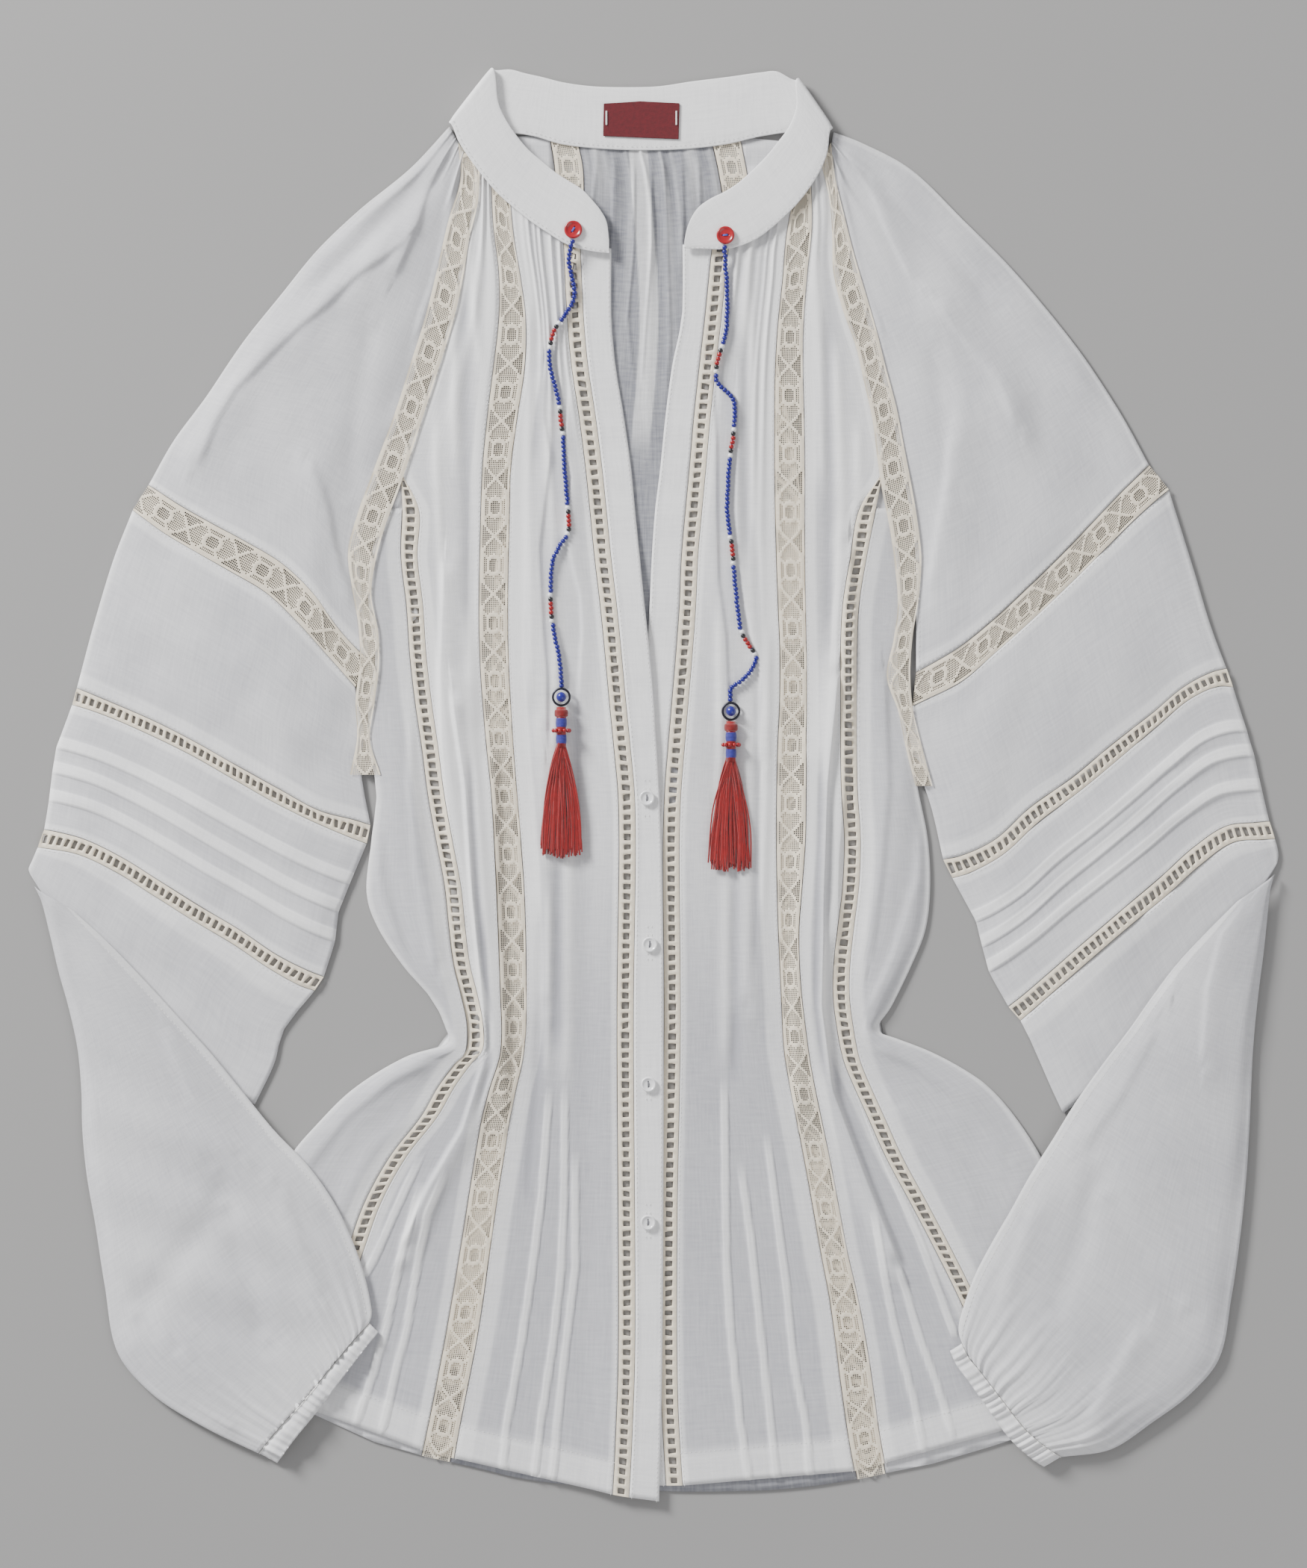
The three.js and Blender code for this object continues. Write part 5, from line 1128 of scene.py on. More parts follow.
def makeFronts():
    for side in sides:
        level = frontLevel(side)
        sign = -1 if side == "left" else 1

        def gathered(spots, count, seed, reach):
            return gathers(spots, count, seed, reach) * 1.15 * mm

        def relief(count, seed, reach):
            def made(spots):
                rise = gathered(spots, count, seed, reach)
                rise = (rise + tuckShare(side, spots.x, spots.y) * 0.75 * mm
                        + hemShare(spots, fronts["hem"]) * 0.4 * mm)
                rise = rise + bandShare(side, spots.x, spots.y) * 1.5 * mm
                return rise * edgeFall(spots)
            return made

        def layers(count, seed, reach, outerSeam, innerSeam):
            def made(spots):
                seam = ease(outerSeam + 1.2 * mm, outerSeam - 1.2 * mm, spots.fromOuter)
                edge = ease(innerSeam + 1.2 * mm, innerSeam - 1.2 * mm, spots.fromInner)
                upper = 0.40 * ease(-0.17, 0.03, spots.y) + 0.30 * gathered(spots, count, seed, reach) / mm
                slow = rumple(spots.x * 2.2, spots.y * 0.35, 7) / mm * 0.5
                tucks = tuckShare(side, spots.x, spots.y)
                # Whiter along fold ridges, partly stacked cloth and partly painted light; the bands add
                # painted light on ridges and painted shade in creases
                folds = 0.12 * np.clip(folded(fronts["folds"][side], spots.x, spots.y) / mm, -1, 2)
                base = 0.16 + upper + slow * ease(-0.25, 0.0, spots.y) + folds
                base = base + 0.8 * bandShare(side, spots.x, spots.y)
                return base + 0.5 * seam + 0.5 * edge + 0.6 * tucks + 0.6 * hemShare(spots, fronts["hem"])
            return made

        panel(side + "InnerFrontCloth", side + "_inner_front", side, (1.0 * mm, 3.0 * mm),
              relief(8, 3 + sign, 0.22), layers(8, 3 + sign, 0.22, 9 * mm, 3 * mm), level=level)
        panel(side + "OuterFrontCloth", side + "_outer_front", side, (1.1 * mm, 3.0 * mm),
              relief(4, 8 + sign, 0.2), layers(4, 8 + sign, 0.2, 5 * mm, 6 * mm), level=level)
        panel(side + "PlacketCloth", side + "_placket", side, (1.5 * mm, 3.0 * mm),
              lambda spots: (0.5 * mm * bump(spots.nearSide / (1.2 * mm))
                             + 0.35 * mm * hemShare(spots, 12 * mm)
                             + 0.12 * mm * np.sin(spots.y * 160 + 3 * np.sin(spots.y * 37)))
              * edgeFall(spots, 0.8 * mm),
              lambda spots: 0.93 - 0.12 * bump((spots.nearSide - 2.6 * mm) / (0.7 * mm)),
              level=level, slot="doubled_cloth")
        panel(side + "SideCloth", side + "_side_panel", side, (2.2 * mm, 3.0 * mm),
              lambda spots: hemShare(spots, fronts["hem"]) * 0.4 * mm * edgeFall(spots)
              + rumple(spots.x, spots.y, 4)
              + folded(fronts["sideFolds"][side], spots.x, spots.y) * edgeFall(spots, 8 * mm),
              lambda spots: 0.30 + 0.45 * ease(9 * mm, 6 * mm, spots.fromInner)
              + 0.5 * ease(4 * mm, 1 * mm, spots.fromOuter) + 0.5 * hemShare(spots, fronts["hem"]))
        form = Surface(side + "_front_ladder", level=level)
        ladderStrip(side + "FrontLadder", "front", stripOf(form), side + "_front_ladder", 5)
        form = Surface(side + "_side_ladder", level=level, corners=ladderCorners.get(side))
        ladderStrip(side + "SideLadder", "side", stripOf(form), side + "_side_ladder", 6)
        form = Surface(side + "_front_lace", level=level)
        laceStrip(side + "FrontLace", stripOf(form), side + "_front_lace")
        form = Surface(side + "_raglan_lace", level=frontLevel(side, 0.8 * mm))
        laceStrip(side + "RaglanLace", stripOf(form), side + "_raglan_lace")
    print("fronts made")


ladderCorners = {"right": [(123.4, 168), (123.4, 168), (191, -346), (199.8, -345.7)]}


def laceStrip(name, strip, node):
    return trimming(name, units["lace"], lace["pitch"], lace["width"], strip, "lace", "lace", node)


# The back: what the neck shows of it, pleated from the collar seam
back = {
    "laceCorners": {
        "left": [(-55.7, 348.8), (-41, 345.1), (-124.3, -360.7), (-109.6, -363.9)],
        "right": [(31.4, 345.4), (46.1, 347.6), (109.6, -373.3), (124.3, -370.2)],
    },
    # ridges seen through the neck: (height, left reach, right reach, path) in mm
    "folds": [
        (0.8, 0.8, 0.8, [(-10.5, 338), (-10.5, 290), (-14, 250), (-11, 220), (-3, 200), (0, 182)]),
        (0.8, 0.8, 0.8, [(-1.0, 338), (-1.0, 290), (-4, 250), (-6, 220), (0, 200), (3, 182)]),
        (0.9, 2.0, 0.9, [(-21, 338), (-22, 300), (-24, 270), (-23, 235)]),
        (0.9, 0.9, 2.0, [(5, 338), (7, 300), (8, 270), (9, 240), (6, 200)]),
        (1.0, 1.0, 3.0, [(15, 338), (16, 300), (14, 270)]),
        (0.8, 1.2, 1.2, [(-30, 338), (-33, 310), (-36, 290)]),
        (0.8, 1.2, 1.2, [(24, 338), (25, 312), (22, 290)]),
    ],
}


def makeBack():
    def relief(spots):
        seen = ease(0.16, 0.24, spots.y) * ease(0.075, 0.05, np.abs(spots.x + 0.004))
        fine = gathers(spots, 10, 12, 0.13, 0.7) * 0.7 * mm
        return (folded(back["folds"], spots.x, spots.y) + fine) * seen * edgeFall(spots)

    def layers(spots):
        band = ease(5.4 * mm, 4.6 * mm, np.abs(spots.x + 5.5 * mm - 3 * mm * np.sin((spots.y - 0.2) * 30)))
        fine = gathers(spots, 10, 12, 0.13, 0.7)
        return 0.16 + 0.5 * band * ease(0.17, 0.2, spots.y) + 0.3 * fine

    panel("centreBackCloth", "centre_back", "left", (1.6 * mm, 4.0 * mm), relief, layers,
          finish="backVoile", soft=2)
    for side in sides:
        form = Surface(side + "_back_lace", corners=back["laceCorners"][side], soft=0)
        laceStrip(side + "BackLace", stripOf(form, lift=0.1 * mm), side + "_back_lace")
    print("back made")


# The lower layers: flat where they rest, with shallow creases and a soft rim
lower = {
    "cell": 7 * mm,
    "deepest": 0.448 * mm,      # of a crease in the underside
    "topShare": 0.3,            # how far the top side sinks with it
    "underside": 0.1 * mm,      # points lower than this are on the underside
    "rim": 0.3 * mm,
    "creases": {
        "left_back": [(0.4, 3, 7, [(-90, 200), (-110, 60), (-96, -80)]),
                      (0.4, 6, 3, [(-120, -160), (-150, -300)]),
                      (0.3, 5, 5, [(-84, -140), (-112, -330)])],
        "right_back": [(0.4, 7, 3, [(90, 200), (106, 60), (94, -80)]),
                       (0.4, 3, 6, [(120, -160), (152, -300)]),
                       (0.3, 5, 5, [(84, -140), (114, -330)])],
        "left_sleeve_under": [(0.4, 3, 9, [(-120, 300), (-190, 190), (-230, 60)]),
                              (0.4, 8, 3, [(-180, 120), (-250, 20), (-300, -20)]),
                              (0.4, 3, 8, [(-290, -110), (-270, -200), (-250, -290)])],
        "right_sleeve_under": [(0.4, 9, 3, [(116, 300), (186, 190), (226, 60)]),
                               (0.4, 3, 8, [(176, 120), (246, 20), (300, -20)]),
                               (0.4, 8, 3, [(296, -110), (280, -200), (262, -290)])],
    },
}


def makeLowerLayers():
    for node, creases in lower["creases"].items():
        source = mergedCopy(node)
        bmesh.ops.dissolve_limit(source, angle_limit=math.radians(1), verts=source.verts, edges=source.edges)
        low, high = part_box(node)
        for axis in (0, 1):
            for place in np.arange(low[axis] + lower["cell"] / 2, high[axis], lower["cell"]):
                spot, way = [0, 0, 0], [0, 0, 0]
                spot[axis], way[axis] = float(place), 1
                everything = source.verts[:] + source.edges[:] + source.faces[:]
                bmesh.ops.bisect_plane(source, geom=everything, dist=1e-6, plane_co=spot, plane_no=way)
        rim = [edge for edge in source.edges if edge.calc_face_angle(0) > math.radians(60)]
        edgy = {vert for edge in rim for vert in edge.verts}
        inner = [vert for vert in source.verts if vert not in edgy]
        spots = np.array([tuple(vert.co) for vert in inner])
        seed = len(node)
        rise = folded(creases, spots[:, 0], spots[:, 1]) + np.abs(rumple(spots[:, 0], spots[:, 1], seed, 2.0))
        for vert, lift in zip(inner, np.clip(rise, 0, lower["deepest"])):
            vert.co.z += lift if vert.co.z < lower["underside"] else -lower["topShare"] * lift
        bmesh.ops.bevel(source, geom=rim, offset=lower["rim"], segments=2, affect="EDGES", clamp_overlap=True)
        bmesh.ops.recalc_face_normals(source, faces=source.faces)
        mesh = bpy.data.meshes.new(node)
        source.to_mesh(mesh)
        source.free()
        mesh.materials.append(finishes["underVoile"])
        side, rest = node.split("_", 1)
        name = side + {"back": "BackCloth", "sleeve_under": "SleeveUnderCloth"}[rest]
        piece = dress(name, mesh, "cloth", node)
        places = np.zeros(len(mesh.vertices) * 3)
        mesh.vertices.foreach_get("co", places)
        corners = np.zeros(len(mesh.loops), int)
        mesh.loops.foreach_get("vertex_index", corners)
        mesh.uv_layers.new(name="cut").data.foreach_set("uv", places.reshape(-1, 3)[corners][:, :2].ravel())
    print("lower layers made")


# The sleeves: creases beside the long folds that the frame has, and tucks
sleeves = {
    "left": {
        "folds": [
            (1.5, 2.0, 7, [(-133, 293), (-145, 283), (-160, 273), (-175, 258), (-190, 246), (-205, 232),
                           (-225, 212),
                           (-235, 195), (-245, 170)]),
            (1.4, 1.8, 6, [(-185, 175), (-178, 158), (-175, 148), (-172, 130), (-168, 115), (-163, 103),
                           (-158, 95)]),
            (-1.2, 5, 5, [(-120, 325), (-150, 296), (-185, 262)]),
            (1.3, 1.6, 6, [(-108, 345), (-122, 318), (-127, 300), (-140, 270)]),
            (1.2, 5, 1.8, [(-104, 335), (-110, 300), (-118, 268), (-128, 238)]),
            (-1.0, 6, 6, [(-150, 250), (-160, 200), (-163, 150)]),
        ],
        "forearm": [
            (1.6, 2.0, 8, [(-326, -57), (-315, -64), (-303, -71), (-290, -86)]),
            (1.4, 6, 2.0, [(-328, -68), (-320, -90), (-318, -130), (-312, -170)]),
            (-1.6, 9, 9, [(-278, -284), (-255, -255), (-230, -225)]),
            (1.5, 3, 9, [(-255, -300), (-240, -322), (-222, -350)]),
            (-1.3, 7, 7, [(-234, -206), (-222, -250), (-207, -298)]),
            (1.2, 3, 8, [(-200, -215), (-190, -245), (-176, -275)]),
            (1.0, 8, 3, [(-262, -130), (-245, -170), (-222, -200)]),
        ],
    },
    "right": {
        "folds": [
            (1.4, 7, 2.0, [(150, 260), (165, 240), (185, 215), (195, 190)]),
            (1.4, 6, 1.8, [(160, 190), (158, 165), (152, 130), (147, 100)]),
            (-1.2, 5, 5, [(118, 325), (150, 294), (182, 258)]),
            (1.3, 6, 1.6, [(101, 343), (118, 316), (126, 296), (140, 268)]),
            (1.2, 1.8, 5, [(98, 333), (105, 300), (112, 268), (124, 238)]),
            (-1.0, 6, 6, [(150, 240), (156, 200), (158, 160)]),
        ],
        "forearm": [
            (1.6, 2.0, 8, [(290, -52), (287, -60), (282, -75), (279, -90), (278, -110)]),
            (1.3, 8, 2.0, [(318, -64), (305, -80), (297, -110), (294, -150)]),
            (-1.5, 9, 9, [(285, -280), (262, -250), (240, -220)]),
            (1.4, 9, 3, [(262, -290), (246, -318), (232, -345)]),
            (-1.2, 7, 7, [(240, -200), (228, -245), (212, -290)]),
            (1.1, 8, 3, [(206, -222), (196, -250), (184, -280)]),
            (1.0, 3, 8, [(268, -130), (250, -165), (228, -195)]),
        ],
    },
    "corners": {
        "left": {
            "forearm": [(-332, -55), (-311, -68), (-212, -359), (-152.5, -289)],
            "cuff": [(-211.6, -359.2), (-152.2, -289.3), (-202, -364.5), (-147.5, -294)],
        },
        "right": {
            "forearm": [(313, -63), (333, -48.5), (165.5, -300), (219, -361)],
            "cuff": [(165.1, -300.2), (218.6, -361.2), (159, -304), (209.5, -366.5)],
        },
    },
}


def makeSleeves():
    for side in sides:
        data = sleeves[side]
        seed = 20 if side == "left" else 30

        def creased(spots):
            fade = edgeFall(spots, 9 * mm)
            return (folded(data["folds"], spots.x, spots.y) + rumple(spots.x, spots.y, seed, 2.2)) * fade

        def seams(top, foot):
            def made(spots):
                rows = (ease(top + 1 * mm, top - 1 * mm, spots.fromTop) if top else 0) + (
                    ease(foot + 1 * mm, foot - 1 * mm, spots.fromFoot) if foot else 0)
                rim = ease(3.2 * mm, 1.8 * mm, spots.fromOuter)
                slow = rumple(spots.x * 0.8, spots.y * 0.8, seed + 1) / mm * 0.35
                return 0.42 + 0.36 * rows + 0.25 * rim + slow
            return made

        def capGathers(spots):
            return creased(spots) + gathers(spots, 7, seed, 0.11) * 1.2 * mm * edgeFall(spots, 6 * mm)

        panel(side + "CapCloth", side + "_sleeve_cap", side, (2.0 * mm, 2.2 * mm), capGathers,
              seams(0, 5 * mm))
        panel(side + "MiddleCloth", side + "_sleeve_middle", side, (2.2 * mm, 2.2 * mm), creased,
              seams(5 * mm, 8 * mm))

        def tucked(spots):
            return creased(spots) + tuckRows(spots) * 0.9 * mm * edgeFall(spots, 3 * mm)
        panel(side + "TuckCloth", side + "_sleeve_tucks", side, (2.4 * mm, 0.8 * mm), tucked,
              lambda spots: seams(4 * mm, 4 * mm)(spots) + 0.45 * (tuckRows(spots) > 0.05))
        panel(side + "LowerCloth", side + "_lower_sleeve", side, (2.2 * mm, 2.2 * mm), creased,
              seams(8 * mm, 0))

        def forearmRelief(spots):
            near = ease(0.075, 0.0, spots.fromFoot)
            phase = spots.over * 21 + 0.7 * np.sin(spots.over * 9 + spots.fromFoot * 18)
            uneven = 0.7 + 0.4 * np.sin(spots.over * 37)
            gather = (0.5 + 0.5 * np.cos(2 * np.pi * phase)) ** 1.5 * near * uneven
            fine = folded(data["forearm"], spots.x, spots.y) + rumple(spots.x, spots.y, seed + 2, 2.6)
            return (gather * 1.5 * mm + fine) * edgeFall(spots, 9 * mm)

        def forearmLayers(spots):
            inner = ease(4.6 * mm, 3.4 * mm, spots.fromInner)
            near = ease(0.05, 0.0, spots.fromFoot)
            cloudy = rumple(spots.x * 0.7, spots.y * 0.7, seed + 3) / mm * 0.4
            return 0.40 + 0.30 * inner + 0.25 * near + cloudy
        corners = sleeves["corners"][side]
        panel(side + "ForearmCloth", side + "_forearm", side, (2.0 * mm, 2.0 * mm), forearmRelief,
              forearmLayers, corners=corners["forearm"], soft=14)
        # The cuff's pleats: crests painted lighter and troughs darker, as painted light and shade
        panel(side + "CuffCloth", side + "_cuff", side, (0.8 * mm, 0.8 * mm),
              lambda spots: 0.45 * mm * np.sin(spots.over * 21 * 2 * np.pi) * edgeFall(spots)
              + 0.3 * mm * np.sin(spots.over * 47 * np.pi),
              lambda spots: 0.75 + 0.12 * np.sin(spots.over * 21 * 2 * np.pi), slot="doubled_cloth",
              corners=corners["cuff"], soft=2)
        for node, name, kind in (("sleeve_lace", "SleeveLace", "lace"),
                                 ("upper_sleeve_ladder", "UpperSleeveLadder", "sleeve"),
                                 ("lower_sleeve_ladder", "LowerSleeveLadder", "sleeve")):
            form = Surface(f"{side}_{node}", soft=6)

            def ride(x, y):
                return folded(data["folds"], x, y) + rumple(x, y, seed, 2.2)
            strip = stripOf(form, ride, "over")
            if kind == "lace":
                laceStrip(side + name, strip, f"{side}_{node}")
            else:
                ladderStrip(side + name, kind, strip, f"{side}_{node}", seed)
    print("sleeves made")


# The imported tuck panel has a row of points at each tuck's foot, fold and stitching
def tuckRows(spots):
    shares = spots.surface.shares[0]
    total = np.zeros(spots.x.shape)
    for k in (0, 1, 2):
        low, high = shares[3 * k + 1], shares[3 * k + 3]
        share = (spots.down - low) / (high - low)
        total += np.where((share > 0) & (share < 1), 0.35 + 0.65 * np.clip(share, 0, 1), 0)
    return total


# The collar: one doubled band, its seam and free edge read from the frame
def bandChains(node):
    source = mergedCopy(node)
    sharp = {}
    for edge in source.edges:
        if edge.calc_face_angle() > math.radians(70):
            for vert in edge.verts:
                sharp.setdefault(vert, []).append(edge.other_vert(vert))
    tips = {vert for vert in sharp if len(sharp[vert]) == 3}
    chains = []
    for start in sorted(tips, key=lambda vert: vert.co.x)[:2]:
        for first in sharp[start]:
            if first in tips:
                continue
            chain = [start, first]
            while chain[-1] not in tips:
                chain.append(next(vert for vert in sharp[chain[-1]] if vert is not chain[-2]))
            chains.append(np.array([tuple(vert.co) for vert in chain]))
    source.free()
    # the longer chains also run over both ends, two edges each
    chains.sort(key=len)
    seam, free = (chains[0] + chains[1]) / 2, (chains[2] + chains[3])[2:-2] / 2
    if (seam - free)[:8, :2].sum() > 0:
        seam, free = free, seam
    return seam, free


# Closed skin over rings of points, with a cap at each end
def ringMesh(name, rings, material, cut=None):
    count, size = rings.shape[:2]
    index = np.arange(count * size).reshape(count, size)
    wrapped = np.concatenate([index, index[:, :1]], axis=1)
    faces = quads(wrapped) + [tuple(int(v) for v in index[0][::-1]), tuple(int(v) for v in index[-1])]
    piece = linkMesh(name, rings.reshape(-1, 3).tolist(), faces, material)
    if cut is not None:
        corners = np.zeros(len(piece.data.loops), int)
        piece.data.loops.foreach_get("vertex_index", corners)
        piece.data.uv_layers.new(name="cut").data.foreach_set("uv", cut.reshape(-1, 2)[corners].ravel())
    return piece


collar = {"thickness": 1.6 * mm, "rows": 420, "around": 44, "weaveWidth": 36 * mm}


def makeCollar():
    seam, free = bandChains("collar")
    middle = (seam + free) / 2
    steps = np.concatenate([[0], np.cumsum(np.linalg.norm(np.diff(middle, axis=0), axis=1))])
    wanted = np.linspace(0, steps[-1], collar["rows"])
    seam, free = resample(steps, seam, wanted), resample(steps, free, wanted)
    angles = np.linspace(0, 2 * np.pi, collar["around"], endpoint=False)
    across = 0.5 - 0.5 * np.sign(np.cos(angles)) * np.abs(np.cos(angles)) ** 0.55
    thick = np.sign(np.sin(angles)) * np.abs(np.sin(angles)) ** 0.45
    way = np.gradient((seam + free) / 2, axis=0)
    width = free - seam
    normal = np.cross(way, width)
    normal /= np.linalg.norm(normal, axis=1, keepdims=True)
    rings = seam[:, None] + width[:, None] * across[None, :, None]
    pucker = 0.10 * mm * np.sin(wanted * 900)[:, None] * bump((across - 0.03) / 0.06)[None, :]
    stitched = -0.22 * mm * bump((across - 0.055) / 0.02)[None, :] + 0 * wanted[:, None]
    sway = np.sin(wanted * 60 + 2 * np.sin(wanted * 23))
    soft = 0.18 * mm * sway[:, None] * np.sin(np.pi * across)[None, :]
    half = collar["thickness"] / 2 + pucker + stitched + soft * 0.5
    rings = rings + normal[:, None] * (thick[None, :] * half)[..., None]
    cut = np.stack([mix(0, collar["weaveWidth"], across)[None, :] + 0 * wanted[:, None],
                    wanted[:, None] + 0 * across], axis=2)
    piece = ringMesh("collarBand", rings, finishes["collar"], cut)
    wear(piece, "doubled_cloth", "collar")
    panels["collarBand"] = {"piece": piece, "length": steps[-1], "seam": seam, "free": free, "normal": normal}
    print("collar made")


finishes["collar"] = voile("collarCotton", "cut", 0.95)


def makeLabel():
    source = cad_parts["label"].data
    co = np.array([v.co for v in source.vertices])
    top, low = co[:, 2].max(), co[:, 2].min()
    spots = {(round(x, 5), round(y, 5)) for x, y, z in co}
    centre = np.mean(list(spots), axis=0)
    outline = sorted(spots, key=lambda spot: math.atan2(spot[1] - centre[1], spot[0] - centre[0]))
    mesh = bmesh.new()
    upper = [mesh.verts.new((x, y, top)) for x, y in outline]
    lower = [mesh.verts.new((x, y, low)) for x, y in outline]
    mesh.faces.new(upper)
    mesh.faces.new(lower[::-1])
    for k in range(len(outline)):
        other = (k + 1) % len(outline)
        mesh.faces.new((upper[k], lower[k], lower[other], upper[other]))
    bmesh.ops.bevel(mesh, geom=mesh.edges[:], offset=0.22 * mm, segments=2, affect="EDGES")
    made = bpy.data.meshes.new("wovenLabel")
    mesh.to_mesh(made)
    mesh.free()
    made.materials.append(finishes["label"])
    piece = dress("wovenLabel", made, "label", "label", smooth=False)
    for k, x in enumerate((-25.2, 12.3)):
        ends = [(x * mm, y * mm, top + 0.15 * mm) for y in np.linspace(353.5, 361, 7)]
        mesh = grow(curveHolder([ends]), trees["tube"], Radius=0.45 * mm, Sides=6, Finish=finishes["stitch"])
        dress(f"labelStitch{k}", mesh, "doubled_cloth")
    return piece


# Buttons: turned discs with a raised rim, bored twice and sewn on
buttonSizes = {
    # (share of the radius, height in mm) over the top from the rim's foot to the middle
    "profile": [(0.0, 0.0), (0.80, 0.0), (0.93, 0.25), (1.0, 0.8), (0.985, 1.35), (0.92, 1.75), (0.84, 1.85),
                (0.76, 1.72), (0.68, 1.42), (0.55, 1.22), (0.30, 1.15), (0.0, 1.12)],
    "steps": 48,
    "hole": 0.95,
    "spread": 1.35,
}
buttonList = {
    "redButtonLeft": ("red_button_left", "redButton", "red_button", 60, "blueThread"),
    "redButtonRight": ("red_button_right", "redButton", "red_button", 5, "blueThread"),
    "pearlButton1": ("pearl_button_1", "pearl", "pearl", 90, "greyThread"),
    "pearlButton2": ("pearl_button_2", "pearl", "pearl", 86, "greyThread"),
    "pearlButton3": ("pearl_button_3", "pearl", "pearl", 93, "greyThread"),
    "pearlButton4": ("pearl_button_4", "pearl", "pearl", 90, "greyThread"),
}


def makeButtons():
    steps = buttonSizes["steps"]
    for name, (node, finish, slot, turn, thread) in buttonList.items():
        low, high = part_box(node)
        centre, radius = (low + high) / 2, (high.x - low.x) / 2
        angles = np.linspace(0, 2 * np.pi, steps, endpoint=False)
        rings = []
        for share, height in buttonSizes["profile"][1:-1]:
            rings.append([(centre.x + radius * share * math.cos(a), centre.y + radius * share * math.sin(a),
                           low.z + height * mm) for a in angles])
        disc = ringMesh(name + "Blank", np.array(rings), finishes[finish])
        for sign in (-1, 1):
            place = Vector((math.cos(math.radians(turn)), math.sin(math.radians(turn)), 0))
            drill = bmesh.new()
            bmesh.ops.create_cone(drill, cap_ends=True, segments=20, radius1=buttonSizes["hole"] / 2 * mm,
                                  radius2=buttonSizes["hole"] / 2 * mm, depth=8 * mm,
                                  matrix=Matrix.Translation(
                                      centre + place * sign * buttonSizes["spread"] * mm))
            bit = bpy.data.meshes.new("drill")
            drill.to_mesh(bit)
            drill.free()
            tool = bpy.data.objects.new("drill", bit)
            bpy.context.scene.collection.objects.link(tool)
            cut = disc.modifiers.new("bore", "BOOLEAN")
            cut.object = tool
            cut.solver = "EXACT"
            bpy.context.view_layer.update()
            depsgraph = bpy.context.evaluated_depsgraph_get()
            made = bpy.data.meshes.new_from_object(disc.evaluated_get(depsgraph), depsgraph=depsgraph)
            disc.modifiers.clear()
            disc.data = made
            bpy.data.objects.remove(tool)
        made = disc.data
        bpy.data.objects.remove(disc)
        for polygon in made.polygons:
            polygon.use_smooth = abs(polygon.normal.z) < 0.9 or polygon.area < 0.05 * mm * mm * 50
        piece = dress(name, made, slot, node)
        lines = []
        for offset in (-0.22, 0.22):
            side = Vector((-place.y, place.x, 0)) * offset * mm
            line = []
            for t in np.linspace(-1, 1, 13):
                arch = 0.75 * mm * (1 - t ** 6) - 0.55 * mm
                line.append(centre + place * t * buttonSizes["spread"] * mm + side
                            + Vector((0, 0, low.z - centre.z + 1.15 * mm + arch)))
            lines.append(np.array(line))
        mesh = grow(curveHolder(lines), trees["tube"], Radius=0.24 * mm, Sides=8, Finish=finishes[thread])
        dress(name + "Thread", mesh, slot)
    print("buttons made")


# Bead strings with ring, bead and tassel
def nodeTop(node):
    source = mergedCopy(node)
    tree = BVHTree.FromBMesh(source)
    source.free()

    def height(x, y):
        hit = tree.ray_cast(Vector((x, y, 0.1)), Vector((0, 0, -1)))[0]
        return hit.z if hit else tree.find_nearest(Vector((x, y, 0.004)))[0].z
    return height


def beadColours(count, line, stretches):
    tones = [looks["blueBead"]] * count
    for y in stretches:
        near = sorted(range(count), key=lambda k: abs(line[k][1] - y * mm))[0]
        for shift, tone in ((-3, "whiteBead"), (-2, "blackBead"), (-1, "redBead"), (0, "redBead"),
                            (1, "redBead"), (2, "blackBead"), (3, "whiteBead")):
            if 0 <= near + shift < count:
                tones[near + shift] = looks[tone]
    return tones


